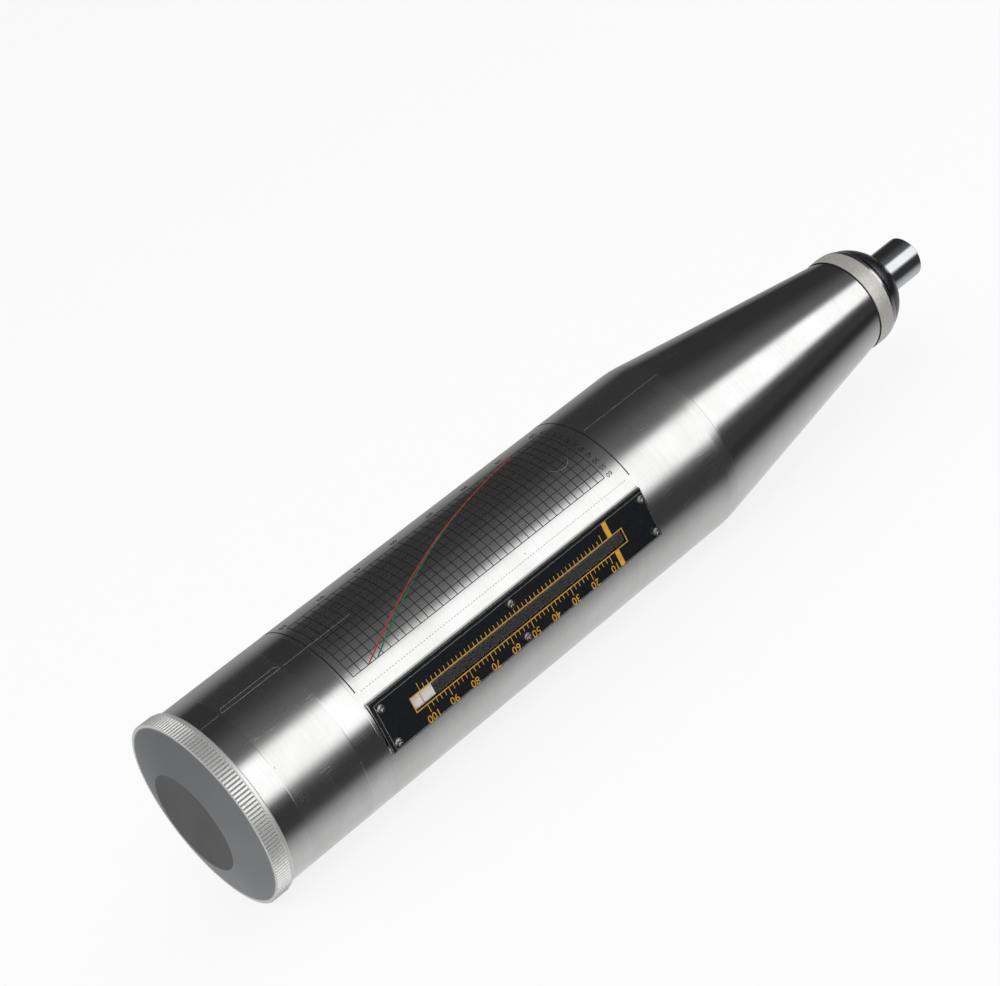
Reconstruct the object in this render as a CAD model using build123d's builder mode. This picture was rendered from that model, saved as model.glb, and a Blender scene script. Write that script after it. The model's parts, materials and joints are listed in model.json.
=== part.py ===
from build123d import *
from math import cos, radians, sin, sqrt, tan
import os

# Concrete rebound hammer, made as the pieces it comes apart into.
# Frame: the origin is the centre of the rear cover's end face, +X runs along the tool to the plunger's
# tip, the scale faces -Y, the lock button faces +Y and +Z is up. Sizes are in millimetres.
# Rest pose: plunger pushed in and hammer mass cocked, at the moment the hook lets go.

os.makedirs("parts", exist_ok=True)

# Barrel
body_radius = 27.0
body_wall = 2.6
housing_rear = 9.2
cone_start = 176.0
nose_radius = 15.2
cone_blend = 25.0
barrel_slot_margin = 3.0
plate_seat_gap = 0.2

# Clearances, and edges broken or chamfered
thread_gap = 0.1
running_gap = 0.06
seat_gap = 0.3
spring_end_gap = 0.1
edge_break = 0.3
end_chamfer = 0.5

# Scale: 100 divisions along the hammer mass's travel
scale_divisions = 100
scale_pitch = 0.75
stroke = scale_divisions * scale_pitch
mark_100 = 59.7
mark_0 = mark_100 + stroke
pointer_length = 20.0

# Rear cover
cover_rim_step = 1.0
cover_face_radius = 14.9
cover_taper = 3.4
knurl_length = 4.4
knurl_depth = 0.45
knurl_count = 160
knurl_groove_width = 1.0
cover_lip_step = 0.7
cover_spigot_length = 11.0
cover_spigot_wall = 2.9
cover_end_wall = 4.6
cover_seat_depth = 12.2
cover_seat_margin = 1.1
trip_boss_radius = 6.0

# Trip screw and lock nut
trip_screw_radius = 3.0
trip_screw_rear = 5.0
trip_screw_slot = 1.0
lock_nut_across = 10.0
lock_nut_height = 3.4

# Guide flange, rod and hook
flange_thickness = 9.0
flange_hammer_gap = 1.0
rod_radius = 4.0
rod_in_plunger = 25.0
hook_width = 4.6
hook_pin_radius = 1.5
hook_pin_rise = 1.5
hook_pin_setback = 4.6
hook_pin_inset = 2.8
hook_open_angle = 8.0
hook_bite = 1.0
hook_thickness = 3.2
hook_corner = 0.8
hook_claw_rise = 0.6
hook_crown = 0.9
hook_heel_back = 3.6
hook_heel_drop = 0.6
hook_throat_back = 0.6
hook_throat_drop = 3.4
hook_arm_start = 3.4
hook_tail_clearance = 1.6
hook_tail_thickness = 2.2
hook_tail_shoulder = 1.4
hook_tail_crotch = 4.4
hook_slot_drop = 5.2
hook_spring_radius = 1.7
hook_spring_pocket = 3.0

# Hammer mass
hammer_side_gap = 8.3
hammer_length = 65.0
hammer_neck_radius = 9.8
hammer_neck_length = 4.5
hammer_rim = 3.0
hammer_groove = 5.0
hammer_groove_depth = 1.6
hammer_chamfer = 0.4
hammer_shoulder = 2.0

# Springs: wire radius and number of turns
impact_closed_length = 61.5
impact_wire, impact_turns = 0.95, 17
pressure_wire, pressure_turns = 0.9, 5.75
buffer_wire, buffer_turns = 0.5, 6
button_wire, button_turns = 0.3, 5
hook_spring_wire, hook_spring_turns = 0.25, 4
pressure_spring_setback = 5.1
buffer_spring_gap = 0.15

# Plunger
plunger_radius = 6.85
plunger_reach = 31.3
plunger_tip_sphere = 25.0
plunger_tip_chamfer = 0.6
plunger_end_relief = 0.2
plunger_relief_gap = 1.2
plunger_bore_past_rod = 22.0

# Nose: spring seat, clamp ring, felt and front cap
seat_neck_length = 10.0
seat_neck_chamfer = 0.6
seat_body_length = 10.1
seat_thread_depth = 1.4
seat_flange_radius = 10.2
seat_flange_length = 2.5
nose_thread_radius = 12.9
clamp_groove_radius = 9.1
clamp_thickness = 2.4
clamp_setback = 7.6
clamp_split = 1.0
felt_thickness = 4.2
cap_radius = 15.45
cap_lip = 0.2
cap_band_length = 5.6
cap_band_arc = 22.4
cap_bevel_length = 2.2
cap_bevel_drop = 0.7
cap_bevel_arc = 6.0
cap_dome_length = 8.4
cap_dome_arc = 14.0
cap_face_radius = 8.0

# Scale plate, window and screws
plate_rear_margin = 10.8
plate_front_margin = 11.5
plate_side_inset = 0.26
plate_thickness = 2.4
plate_bevel = 0.9
flat_depth = 1.2
slot_rear_margin = 3.5
slot_front_setback = 0.4
slot_width = 3.96
window_thickness = 0.6
window_sink = 0.15
window_ledge = 0.25
rider_channel_width = 4.6
rider_channel_depth = 1.3
screw_inset = 2.2
screw_offset = 5.2
screw_middle_setback = 1.5
screw_head_radius = 1.15
screw_head_height = 0.8
screw_shank_radius = 0.7
screw_length = 3.2

# Pointer
shaft_radius = 1.5
shaft_setback = 2.5
block_width = 6.8
block_height = 5.3
block_front = 4.0
block_rear = 5.6
block_chamfer = 0.6
tongue_gap = 0.2
shaft_block_length = 4.0
shaft_block_width = 7.6
shaft_block_margin = 3.6
leaf_width = 4.0
leaf_thickness = 0.4
leaf_hammer_gap = 0.4
leaf_toe = 3.0
leaf_heel = 0.5
leaf_front_setback = 1.0

# Lock button
button_radius = 4.5
button_pin_radius = 2.5
button_travel = 3.5
button_proud = 3.0
button_wall = 1.2
button_skirt = 1.15
button_round = 0.8
bush_head_radius = 7.2
bush_head_height = 5.0
bush_shank_radius = 5.6
bush_seat_depth = 0.8

# Places worked out from the sizes above
bore_radius = body_radius - body_wall
flat_height = body_radius - flat_depth
flat_width = 2 * sqrt(body_radius**2 - flat_height**2)
plate_width = flat_width - 2 * plate_side_inset
shaft_height = bore_radius - shaft_setback
cover_rim_radius = body_radius + cover_rim_step
cover_lip_radius = body_radius + cover_lip_step
pressure_spring_radius = bore_radius - pressure_spring_setback
hammer_radius = bore_radius - hammer_side_gap
hook_pin_height = hammer_radius + hook_pin_rise
hook_tail_reach = hook_pin_height - hook_tail_clearance
hook_spring_height = (rod_radius + hook_pin_height - hook_tail_crotch) / 2
flange_radius = bore_radius - running_gap
hook_pin_length = 2 * (sqrt(flange_radius**2 - hook_pin_height**2) - hook_pin_inset)
hammer_rear = mark_100 - pointer_length
hammer_front = hammer_rear + hammer_length
flange_front = hammer_rear - flange_hammer_gap
flange_rear = flange_front - flange_thickness
impact_plane = hammer_front + stroke
rod_front = impact_plane + rod_in_plunger
plunger_bore_end = rod_front + plunger_bore_past_rod
seat_shoulder = impact_plane - hammer_neck_length + impact_closed_length
seat_bore_radius = nose_thread_radius - seat_thread_depth
clamp_rear = seat_shoulder + seat_body_length
clamp_front = clamp_rear + clamp_thickness
cone_end = clamp_rear + clamp_setback
cone_slope = (body_radius - nose_radius) / (cone_end - cone_start)
cap_front = cone_end + cap_band_length + cap_bevel_length + cap_dome_length
plunger_tip = cone_end + plunger_reach
slot_rear = mark_100 - slot_rear_margin
slot_front = mark_0 - slot_front_setback
slot_length = slot_front - slot_rear
slot_middle = (slot_front + slot_rear) / 2
plate_rear = slot_rear - plate_rear_margin
plate_length = plate_rear_margin + slot_length + plate_front_margin
plate_middle = plate_rear + plate_length / 2
plate_face = flat_height + plate_thickness
screw_places = (
    plate_rear + screw_inset,
    plate_middle - screw_middle_setback,
    plate_rear + plate_length - screw_inset,
)
block_start = mark_100 - block_rear
block_length = block_rear + block_front
travel_length = block_length + stroke
travel_middle = block_start + travel_length / 2
window_face = plate_face - window_sink
window_back = window_face - window_thickness
plunger_clearance_radius = plunger_radius + seat_gap
spring_mean_radius = hammer_neck_radius + running_gap + impact_wire
bush_seat = body_radius - bush_seat_depth

# The scale's plane: local x along the tool, local y up, normal to -Y; the button's plane faces +Y
scale_plane = Plane(origin=(0, 0, 0), x_dir=(1, 0, 0), z_dir=(0, -1, 0))
button_x = flange_front + seat_gap + button_pin_radius
button_plane = Plane(origin=(button_x, 0, 0), x_dir=(1, 0, 0), z_dir=(0, 1, 0))


def finish(builder, name):
    """Label a finished piece and write it under its own name."""
    builder.part.label = name
    export_step(builder.part, f"parts/{name}.step")


def coil(start, end, mean_radius, wire_radius, turns, axis=(1, 0, 0)):
    """A helical spring whose outer ends reach from start to end, two points along its axis."""
    length = (Vector(end) - Vector(start)).length
    first = Vector(start) + Vector(axis) * wire_radius
    rise = length - 2 * wire_radius
    with BuildPart() as spring:
        with BuildLine() as path:
            Helix(rise / turns, rise, mean_radius, center=first, direction=axis)
        with BuildSketch(Plane(origin=path.line @ 0, z_dir=path.line % 0)):
            Circle(wire_radius)
        sweep(is_frenet=True)
    return spring


# Housing: turned barrel and cone, milled flat and slot for the scale, hole for the button bush
with BuildPart() as housing:
    with BuildSketch(Plane.XY):
        with BuildLine():
            rear_inner = (housing_rear, bore_radius)
            rear_outer = (housing_rear, body_radius)
            shoulder = (cone_start, body_radius)
            nose = (cone_end, nose_radius)
            FilletPolyline(rear_outer, shoulder, nose, radius=cone_blend)
            Polyline(
                nose,
                (cone_end, nose_thread_radius),
                (clamp_rear, nose_thread_radius),
                (clamp_rear, seat_bore_radius),
                (seat_shoulder, seat_bore_radius),
                (seat_shoulder, body_radius - cone_slope * (seat_shoulder - cone_start) - body_wall),
                (cone_start, bore_radius),
                rear_inner,
                rear_outer,
            )
        make_face()
    revolve(axis=Axis.X)
    with BuildSketch(scale_plane.offset(flat_height)):
        with Locations((plate_middle, 0)):
            Rectangle(plate_length + 2 * plate_seat_gap, flat_width + 2 * plate_seat_gap)
    extrude(amount=body_radius, mode=Mode.SUBTRACT)
    with BuildSketch(scale_plane.offset(shaft_height)):
        with Locations((travel_middle, 0)):
            Rectangle(travel_length + 2 * barrel_slot_margin, block_width + 4 * seat_gap)
    extrude(amount=body_radius, mode=Mode.SUBTRACT)
    with BuildSketch(scale_plane.offset(shaft_height)):
        for screw_x in screw_places:
            with Locations((screw_x, screw_offset), (screw_x, -screw_offset)):
                Circle(screw_shank_radius)
    extrude(amount=body_radius, mode=Mode.SUBTRACT)
    with BuildSketch(button_plane):
        Circle(bush_shank_radius)
    extrude(amount=2 * body_radius, mode=Mode.SUBTRACT)
    with BuildSketch(button_plane.offset(bush_seat)):
        Circle(bush_head_radius)
    extrude(amount=body_radius, mode=Mode.SUBTRACT)
finish(housing, "housing")

# Rear cover: shallow cone round a flat centre, knurled rim, smooth lip, spigot into the barrel
spigot_radius = bore_radius - thread_gap
knurl_front = cover_taper + knurl_length
knurl_root_radius = cover_rim_radius - knurl_depth
cover_pocket_radius = pressure_spring_radius - pressure_wire - cover_seat_margin
with BuildPart() as rear_cover:
    with BuildSketch(Plane.XY):
        with BuildLine():
            Polyline(
                (0, 0),
                (0, cover_face_radius),
                (cover_taper, knurl_root_radius - edge_break),
                (cover_taper, knurl_root_radius),
                (knurl_front, knurl_root_radius),
                (knurl_front, cover_lip_radius - edge_break),
                (knurl_front + edge_break, cover_lip_radius),
                (housing_rear - edge_break, cover_lip_radius),
                (housing_rear, cover_lip_radius - edge_break),
                (housing_rear, spigot_radius),
                (housing_rear + cover_spigot_length, spigot_radius),
                (housing_rear + cover_spigot_length, spigot_radius - cover_spigot_wall),
                (cover_seat_depth, spigot_radius - cover_spigot_wall),
                (cover_seat_depth, cover_pocket_radius),
                (cover_end_wall, cover_pocket_radius),
                (cover_end_wall, trip_boss_radius),
                (cover_seat_depth, trip_boss_radius),
                (cover_seat_depth, 0),
                (0, 0),
            )
        make_face()
    revolve(axis=Axis.X)
    with BuildSketch(Plane.YZ.offset(cover_taper)):
        Circle(cover_rim_radius)
        with PolarLocations(cover_rim_radius, knurl_count):
            Polygon(
                (-knurl_depth, 0),
                (edge_break, knurl_groove_width / 2),
                (edge_break, -knurl_groove_width / 2),
                align=None,
                mode=Mode.SUBTRACT,
            )
    extrude(amount=knurl_length)
    with BuildSketch(Plane.YZ.offset(trip_screw_rear - seat_gap)):
        Circle(trip_screw_radius + running_gap)
    extrude(amount=cover_seat_depth, mode=Mode.SUBTRACT)
finish(rear_cover, "rear_cover")

# Hook: a bell crank, drawn closed about its pin and set in the plane turned to its open angle
hook_x = flange_front - hook_pin_setback
claw_face = hammer_rear + hammer_rim + seat_gap - hook_x
claw_tip = hammer_radius - hook_bite - hook_pin_height
arm_under = hammer_radius + seat_gap - hook_pin_height
claw_front = claw_face + hook_thickness
hook_top = arm_under + hook_thickness
tail_front = flange_rear - seat_gap - hook_x - hook_tail_reach * tan(radians(hook_open_angle))
hook_turn = radians(hook_open_angle)
hook_plane = Plane(
    origin=(hook_x, 0, hook_pin_height),
    x_dir=(cos(hook_turn), 0, sin(hook_turn)),
    z_dir=(0, -1, 0),
)
with BuildPart() as hook:
    with BuildSketch(hook_plane):
        with BuildLine():
            Polyline(
                (claw_face, claw_tip),
                (claw_front, claw_tip + hook_claw_rise),
                (claw_front, hook_top - hook_corner),
                (claw_front - hook_corner, hook_top),
                (-hook_pin_radius, hook_top + hook_crown),
                (-hook_heel_back, -hook_heel_drop),
                (tail_front - hook_tail_thickness, -hook_tail_shoulder),
                (tail_front - hook_tail_thickness, -hook_tail_reach),
                (tail_front, -hook_tail_reach),
                (tail_front, -hook_tail_crotch),
                (-hook_throat_back, -hook_throat_drop),
                (hook_arm_start, arm_under),
                (claw_face, arm_under),
                (claw_face, claw_tip),
            )
        make_face()
        Circle(hook_pin_radius + running_gap, mode=Mode.SUBTRACT)
    extrude(amount=hook_width / 2, both=True)
finish(hook, "hook")

with BuildPart() as hook_pin:
    with BuildSketch(Plane(origin=(hook_x, 0, hook_pin_height), x_dir=(1, 0, 0), z_dir=(0, -1, 0))):
        Circle(hook_pin_radius)
    extrude(amount=hook_pin_length / 2, both=True)
    chamfer(hook_pin.edges().filter_by(GeomType.CIRCLE), edge_break)
finish(hook_pin, "hook_pin")

# Guide flange: slides in the bore, cut through for the pointer and for the hook
pointer_notch_width = shaft_block_width + 4 * seat_gap
pointer_notch_height = hammer_radius + leaf_hammer_gap - seat_gap
with BuildPart() as guide_flange:
    with BuildSketch(Plane.YZ.offset(flange_rear)):
        Circle(flange_radius)
        Circle(rod_radius, mode=Mode.SUBTRACT)
        with Locations((-bore_radius, 0)):
            Rectangle(2 * (bore_radius - pointer_notch_height), pointer_notch_width, mode=Mode.SUBTRACT)
    extrude(amount=flange_thickness)
    with BuildSketch(Plane.YZ.offset(flange_rear)):
        with Locations((0, bore_radius)):
            Rectangle(hook_width + 2 * seat_gap, 2 * (bore_radius - hook_pin_height + hook_slot_drop))
    extrude(amount=flange_thickness, mode=Mode.SUBTRACT)
    with BuildSketch(Plane(origin=(hook_x, 0, hook_pin_height), x_dir=(1, 0, 0), z_dir=(0, -1, 0))):
        Circle(hook_pin_radius)
    extrude(amount=bore_radius, both=True, mode=Mode.SUBTRACT)
    with BuildSketch(Plane.YZ.offset(flange_rear)):
        with Locations((0, hook_spring_height)):
            Circle(hook_spring_radius + seat_gap)
    extrude(amount=hook_spring_pocket, mode=Mode.SUBTRACT)
finish(guide_flange, "guide_flange")

# Guide rod: threaded into the flange at its tail, slides in the plunger at its front
with BuildPart() as guide_rod:
    with BuildSketch(Plane.YZ.offset(flange_rear)):
        Circle(rod_radius)
    extrude(amount=rod_front - flange_rear)
    chamfer(guide_rod.edges().filter_by(GeomType.CIRCLE), end_chamfer)
finish(guide_rod, "guide_rod")

# Hammer mass: bored for the rod, rim and groove for the hook, neck for the impact spring
groove_radius = hammer_radius - hammer_groove_depth
groove_rear = hammer_rear + hammer_rim
neck_rear = hammer_front - hammer_neck_length
rod_bore_radius = rod_radius + running_gap
with BuildPart() as hammer_mass:
    with BuildSketch(Plane.XY):
        with BuildLine():
            Polyline(
                (hammer_rear, rod_bore_radius),
                (hammer_rear, hammer_radius - hammer_chamfer),
                (hammer_rear + hammer_chamfer, hammer_radius),
                (groove_rear, hammer_radius),
                (groove_rear, groove_radius),
                (groove_rear + hammer_groove, groove_radius),
                (groove_rear + hammer_groove, hammer_radius),
                (neck_rear - hammer_shoulder, hammer_radius),
                (neck_rear, hammer_radius - hammer_shoulder),
                (neck_rear, hammer_neck_radius),
                (hammer_front - end_chamfer, hammer_neck_radius),
                (hammer_front, hammer_neck_radius - end_chamfer),
                (hammer_front, rod_bore_radius),
                (hammer_rear, rod_bore_radius),
            )
        make_face()
    revolve(axis=Axis.X)
finish(hammer_mass, "hammer_mass")

# Plunger: bored at the rear for the rod and the buffer spring, free end ground a little thinner, domed tip
plunger_end_radius = plunger_radius - plunger_end_relief
plunger_relief_start = cap_front + plunger_relief_gap
tip_edge_radius = plunger_end_radius - plunger_tip_chamfer
tip_sag = plunger_tip_sphere - sqrt(plunger_tip_sphere**2 - tip_edge_radius**2)
with BuildPart() as plunger:
    with BuildSketch(Plane.XY):
        with BuildLine():
            Polyline(
                (plunger_tip, 0),
                (plunger_bore_end, 0),
                (plunger_bore_end, rod_bore_radius),
                (impact_plane, rod_bore_radius),
                (impact_plane, plunger_radius - end_chamfer),
                (impact_plane + end_chamfer, plunger_radius),
                (plunger_relief_start, plunger_radius),
                (plunger_relief_start, plunger_end_radius),
                (plunger_tip - tip_sag - plunger_tip_chamfer, plunger_end_radius),
                (plunger_tip - tip_sag, tip_edge_radius),
            )
            RadiusArc((plunger_tip - tip_sag, tip_edge_radius), (plunger_tip, 0), plunger_tip_sphere)
        make_face()
    revolve(axis=Axis.X)
finish(plunger, "plunger")

# Spring seat: neck for the impact spring, shoulder in the housing, groove for the clamp ring
seat_shoulder_radius = seat_bore_radius - thread_gap / 2
with BuildPart() as spring_seat:
    with BuildSketch(Plane.XY):
        with BuildLine():
            Polyline(
                (seat_shoulder - seat_neck_length, plunger_clearance_radius),
                (seat_shoulder - seat_neck_length, hammer_neck_radius - seat_neck_chamfer),
                (seat_shoulder - seat_neck_length + seat_neck_chamfer, hammer_neck_radius),
                (seat_shoulder, hammer_neck_radius),
                (seat_shoulder, seat_shoulder_radius),
                (clamp_rear, seat_shoulder_radius),
                (clamp_rear, clamp_groove_radius),
                (clamp_front, clamp_groove_radius),
                (clamp_front, seat_flange_radius),
                (clamp_front + seat_flange_length, seat_flange_radius),
                (clamp_front + seat_flange_length, plunger_clearance_radius),
                (seat_shoulder - seat_neck_length, plunger_clearance_radius),
            )
        make_face()
    revolve(axis=Axis.X)
finish(spring_seat, "spring_seat")

# Clamp ring: two half rings in the seat's groove, held between the housing and the front cap
with BuildPart() as clamp_ring:
    with BuildSketch(Plane.YZ.offset(clamp_rear)):
        Circle(nose_thread_radius - thread_gap / 2)
        Circle(clamp_groove_radius + thread_gap / 2, mode=Mode.SUBTRACT)
        Rectangle(3 * nose_thread_radius, clamp_split, mode=Mode.SUBTRACT)
    extrude(amount=clamp_thickness)
finish(clamp_ring, "clamp_ring")

# Front cap: spigot in the housing, felt pocket, rounded nose round the plunger
felt_rear = clamp_front + seat_flange_length + seat_gap / 2
felt_front = felt_rear + felt_thickness
felt_radius = seat_flange_radius + seat_gap
cap_bore_radius = plunger_radius + running_gap
cap_band_front = cone_end + cap_band_length
with BuildPart() as front_cap:
    with BuildSketch(Plane.XY):
        with BuildLine():
            band_rear = (cone_end, nose_radius + cap_lip)
            band_front = (cap_band_front, cap_radius)
            dome_edge = (cap_band_front + cap_bevel_length, cap_radius - cap_bevel_drop)
            face_edge = (cap_front, cap_face_radius)
            RadiusArc(band_rear, band_front, cap_band_arc)
            RadiusArc(band_front, dome_edge, cap_bevel_arc)
            RadiusArc(dome_edge, face_edge, cap_dome_arc)
            Polyline(
                face_edge,
                (cap_front, cap_bore_radius),
                (felt_front, cap_bore_radius),
                (felt_front, felt_radius),
                (clamp_front, felt_radius),
                (clamp_front, nose_thread_radius - thread_gap),
                (cone_end, nose_thread_radius - thread_gap),
                band_rear,
            )
        make_face()
    revolve(axis=Axis.X)
finish(front_cap, "front_cap")

with BuildPart() as felt_seal:
    with BuildSketch(Plane.YZ.offset(felt_rear)):
        Circle(felt_radius)
        Circle(cap_bore_radius, mode=Mode.SUBTRACT)
    extrude(amount=felt_thickness)
finish(felt_seal, "felt_seal")

# Trip screw with its slot in front of the cover's blind hole, and the lock nut on the boss
trip_screw_tip = hook_x + tail_front - hook_tail_thickness - seat_gap
with BuildPart() as trip_screw:
    with BuildSketch(Plane.YZ.offset(trip_screw_rear)):
        Circle(trip_screw_radius)
    extrude(amount=trip_screw_tip - trip_screw_rear)
    chamfer(trip_screw.edges().filter_by(GeomType.CIRCLE), end_chamfer)
    with BuildSketch(Plane.YZ.offset(trip_screw_tip)):
        Rectangle(3 * trip_screw_radius, trip_screw_slot)
    extrude(amount=-1.5 * trip_screw_slot, mode=Mode.SUBTRACT)
finish(trip_screw, "trip_screw")

with BuildPart() as lock_nut:
    with BuildSketch(Plane.YZ.offset(cover_seat_depth)):
        RegularPolygon(lock_nut_across / 2, 6, major_radius=False)
        Circle(trip_screw_radius + running_gap, mode=Mode.SUBTRACT)
    extrude(amount=lock_nut_height)
finish(lock_nut, "lock_nut")

# Scale plate: bevelled, slotted in two steps so that the window rests on a ledge, and channelled
# underneath for the rider
screw_spots = [
    (screw_x - plate_middle, side * screw_offset)
    for screw_x in screw_places
    for side in (-1, 1)
]
with BuildPart() as scale_plate:
    with BuildSketch(scale_plane.offset(flat_height)):
        with Locations((plate_middle, 0)):
            Rectangle(plate_length, plate_width)
            with Locations(screw_spots):
                Circle(screw_shank_radius, mode=Mode.SUBTRACT)
        with Locations((slot_middle, 0)):
            Rectangle(slot_length - 2 * window_ledge, slot_width - 2 * window_ledge, mode=Mode.SUBTRACT)
    extrude(amount=plate_thickness)
    outer_face = scale_plate.faces().sort_by(Axis.Y)[0]
    chamfer(outer_face.outer_wire().edges(), plate_bevel)
    with BuildSketch(scale_plane.offset(window_back)):
        with Locations((slot_middle, 0)):
            Rectangle(slot_length, slot_width)
    extrude(amount=plate_thickness, mode=Mode.SUBTRACT)
    with BuildSketch(scale_plane.offset(flat_height)):
        with Locations((travel_middle, 0)):
            Rectangle(travel_length + 2 * seat_gap, rider_channel_width)
    extrude(amount=rider_channel_depth, mode=Mode.SUBTRACT)
finish(scale_plate, "scale_plate")

with BuildPart() as window:
    with BuildSketch(scale_plane.offset(window_back)):
        with Locations((slot_middle, 0)):
            Rectangle(slot_length - running_gap, slot_width - running_gap)
    extrude(amount=window_thickness)
finish(window, "window")

# Scale screws: domed heads on the plate, shanks into the barrel wall
with BuildPart() as scale_screws:
    with BuildSketch(scale_plane.offset(plate_face - screw_length)):
        with Locations((plate_middle, 0)):
            with Locations(screw_spots):
                Circle(screw_shank_radius)
    extrude(amount=screw_length)
    with BuildSketch(scale_plane.offset(plate_face)):
        with Locations((plate_middle, 0)):
            with Locations(screw_spots):
                Circle(screw_head_radius)
    extrude(amount=screw_head_height)
    fillet(scale_screws.faces().filter_by(Axis.Y).group_by(Axis.Y)[0].edges(), 0.8 * screw_head_height)
finish(scale_screws, "scale_screws")

# Pointer: shaft between two blocks under the barrel wall, rider on the shaft, leaf behind the rider
block_bottom = shaft_height - block_height / 2
rear_post = block_start - shaft_block_margin - shaft_block_length
front_post = mark_0 + block_front + shaft_block_margin
with BuildPart() as shaft_blocks:
    with BuildSketch(scale_plane.offset(block_bottom)):
        with Locations(
            (rear_post + shaft_block_length / 2, 0),
            (front_post + shaft_block_length / 2, 0),
        ):
            Rectangle(shaft_block_length, shaft_block_width)
    extrude(amount=block_height)
    with BuildSketch(Plane.YZ.offset(rear_post - 1)):
        Circle(bore_radius - running_gap)
    extrude(amount=front_post - rear_post + shaft_block_length + 2, mode=Mode.INTERSECT)
    with BuildSketch(Plane.YZ.offset(rear_post - 1)):
        with Locations((-shaft_height, 0)):
            Circle(shaft_radius)
    extrude(amount=front_post - rear_post + shaft_block_length + 2, mode=Mode.SUBTRACT)
finish(shaft_blocks, "shaft_blocks")

with BuildPart() as pointer_shaft:
    with BuildSketch(Plane.YZ.offset(rear_post)):
        with Locations((-shaft_height, 0)):
            Circle(shaft_radius)
    extrude(amount=front_post - rear_post + shaft_block_length)
finish(pointer_shaft, "pointer_shaft")

tongue_width = rider_channel_width - 2 * seat_gap
tongue_top = flat_height + rider_channel_depth - tongue_gap
with BuildPart() as pointer_block:
    with BuildSketch(scale_plane.offset(block_bottom)):
        with Locations((block_start + block_length / 2, 0)):
            Rectangle(block_length, block_width)
    extrude(amount=block_height)
    chamfer(pointer_block.edges().filter_by(Axis.X), block_chamfer)
    with BuildSketch(scale_plane.offset(block_bottom + block_height)):
        with Locations((block_start + block_length / 2, 0)):
            Rectangle(block_length, tongue_width)
    extrude(amount=tongue_top - block_bottom - block_height)
    with BuildSketch(Plane.YZ.offset(block_start)):
        with Locations((-shaft_height, 0)):
            Circle(shaft_radius + running_gap)
    extrude(amount=block_length, mode=Mode.SUBTRACT)
finish(pointer_block, "pointer_block")

leaf_tip_height = hammer_radius + leaf_hammer_gap
leaf_tip_x = hammer_rear + leaf_hammer_gap
leaf_front = block_start + block_length - leaf_front_setback
with BuildPart() as pointer_leaf:
    with BuildSketch(Plane.XY):
        with BuildLine():
            Polyline(
                (leaf_front, -block_bottom),
                (block_start - leaf_heel, -block_bottom),
                (leaf_tip_x + leaf_toe, -leaf_tip_height - leaf_thickness),
                (leaf_tip_x, -leaf_tip_height - leaf_thickness),
                (leaf_tip_x, -leaf_tip_height),
                (leaf_tip_x + leaf_toe, -leaf_tip_height),
                (block_start - leaf_heel, leaf_thickness - block_bottom),
                (leaf_front, leaf_thickness - block_bottom),
                close=True,
            )
        make_face()
    extrude(amount=leaf_width / 2, both=True)
finish(pointer_leaf, "pointer_leaf")

# Lock button: bush screwed into the barrel, sprung button whose pin drops in front of the flange
bush_inner = bore_radius + running_gap
bush_floor = bush_inner + button_wall
bush_top = bush_seat + bush_head_height
with BuildPart() as button_bush:
    with BuildSketch(button_plane.offset(bush_inner)):
        Circle(bush_shank_radius)
    extrude(amount=bush_top - bush_inner)
    with BuildSketch(button_plane.offset(bush_seat)):
        Circle(bush_head_radius)
    extrude(amount=bush_head_height)
    chamfer(button_bush.edges().filter_by(GeomType.CIRCLE).sort_by(Axis.Y)[-1], end_chamfer)
    with BuildSketch(button_plane.offset(bush_floor)):
        Circle(button_radius + running_gap)
    extrude(amount=bush_top, mode=Mode.SUBTRACT)
    with BuildSketch(button_plane):
        Circle(button_pin_radius + running_gap)
    extrude(amount=bush_top, mode=Mode.SUBTRACT)
finish(button_bush, "button_bush")

skirt_bottom = bush_floor + button_travel + seat_gap
button_top = bush_top + button_proud
skirt_inner_radius = button_radius - button_skirt
button_roof = button_top - button_wall
with BuildPart() as button:
    with BuildSketch(button_plane.offset(skirt_bottom)):
        Circle(button_radius)
    extrude(amount=button_top - skirt_bottom)
    fillet(button.edges().filter_by(GeomType.CIRCLE).sort_by(Axis.Y)[-1], button_round)
    with BuildSketch(button_plane.offset(skirt_bottom)):
        Circle(skirt_inner_radius)
    extrude(amount=button_roof - skirt_bottom, mode=Mode.SUBTRACT)
    with BuildSketch(button_plane.offset(bore_radius + seat_gap)):
        Circle(button_pin_radius)
    extrude(amount=button_roof - bore_radius - seat_gap)
finish(button, "button")

# Springs, each between its two seats
tail_at_spring = hook_x + tail_front + (hook_pin_height - hook_spring_height) * tan(hook_turn)
pressure_spring = coil(
    (cover_seat_depth + spring_end_gap, 0, 0), (flange_rear - spring_end_gap, 0, 0),
    pressure_spring_radius, pressure_wire, pressure_turns,
)
finish(pressure_spring, "pressure_spring")
impact_spring = coil(
    (neck_rear + spring_end_gap, 0, 0), (seat_shoulder - spring_end_gap, 0, 0),
    spring_mean_radius, impact_wire, impact_turns,
)
finish(impact_spring, "impact_spring")
buffer_spring = coil(
    (rod_front + spring_end_gap, 0, 0), (plunger_bore_end - spring_end_gap, 0, 0),
    rod_radius - buffer_spring_gap - buffer_wire, buffer_wire, buffer_turns,
)
finish(buffer_spring, "buffer_spring")
hook_spring = coil(
    (tail_at_spring + spring_end_gap, 0, hook_spring_height),
    (flange_rear + hook_spring_pocket - spring_end_gap, 0, hook_spring_height),
    hook_spring_radius - hook_spring_wire, hook_spring_wire, hook_spring_turns,
)
finish(hook_spring, "hook_spring")
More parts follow.
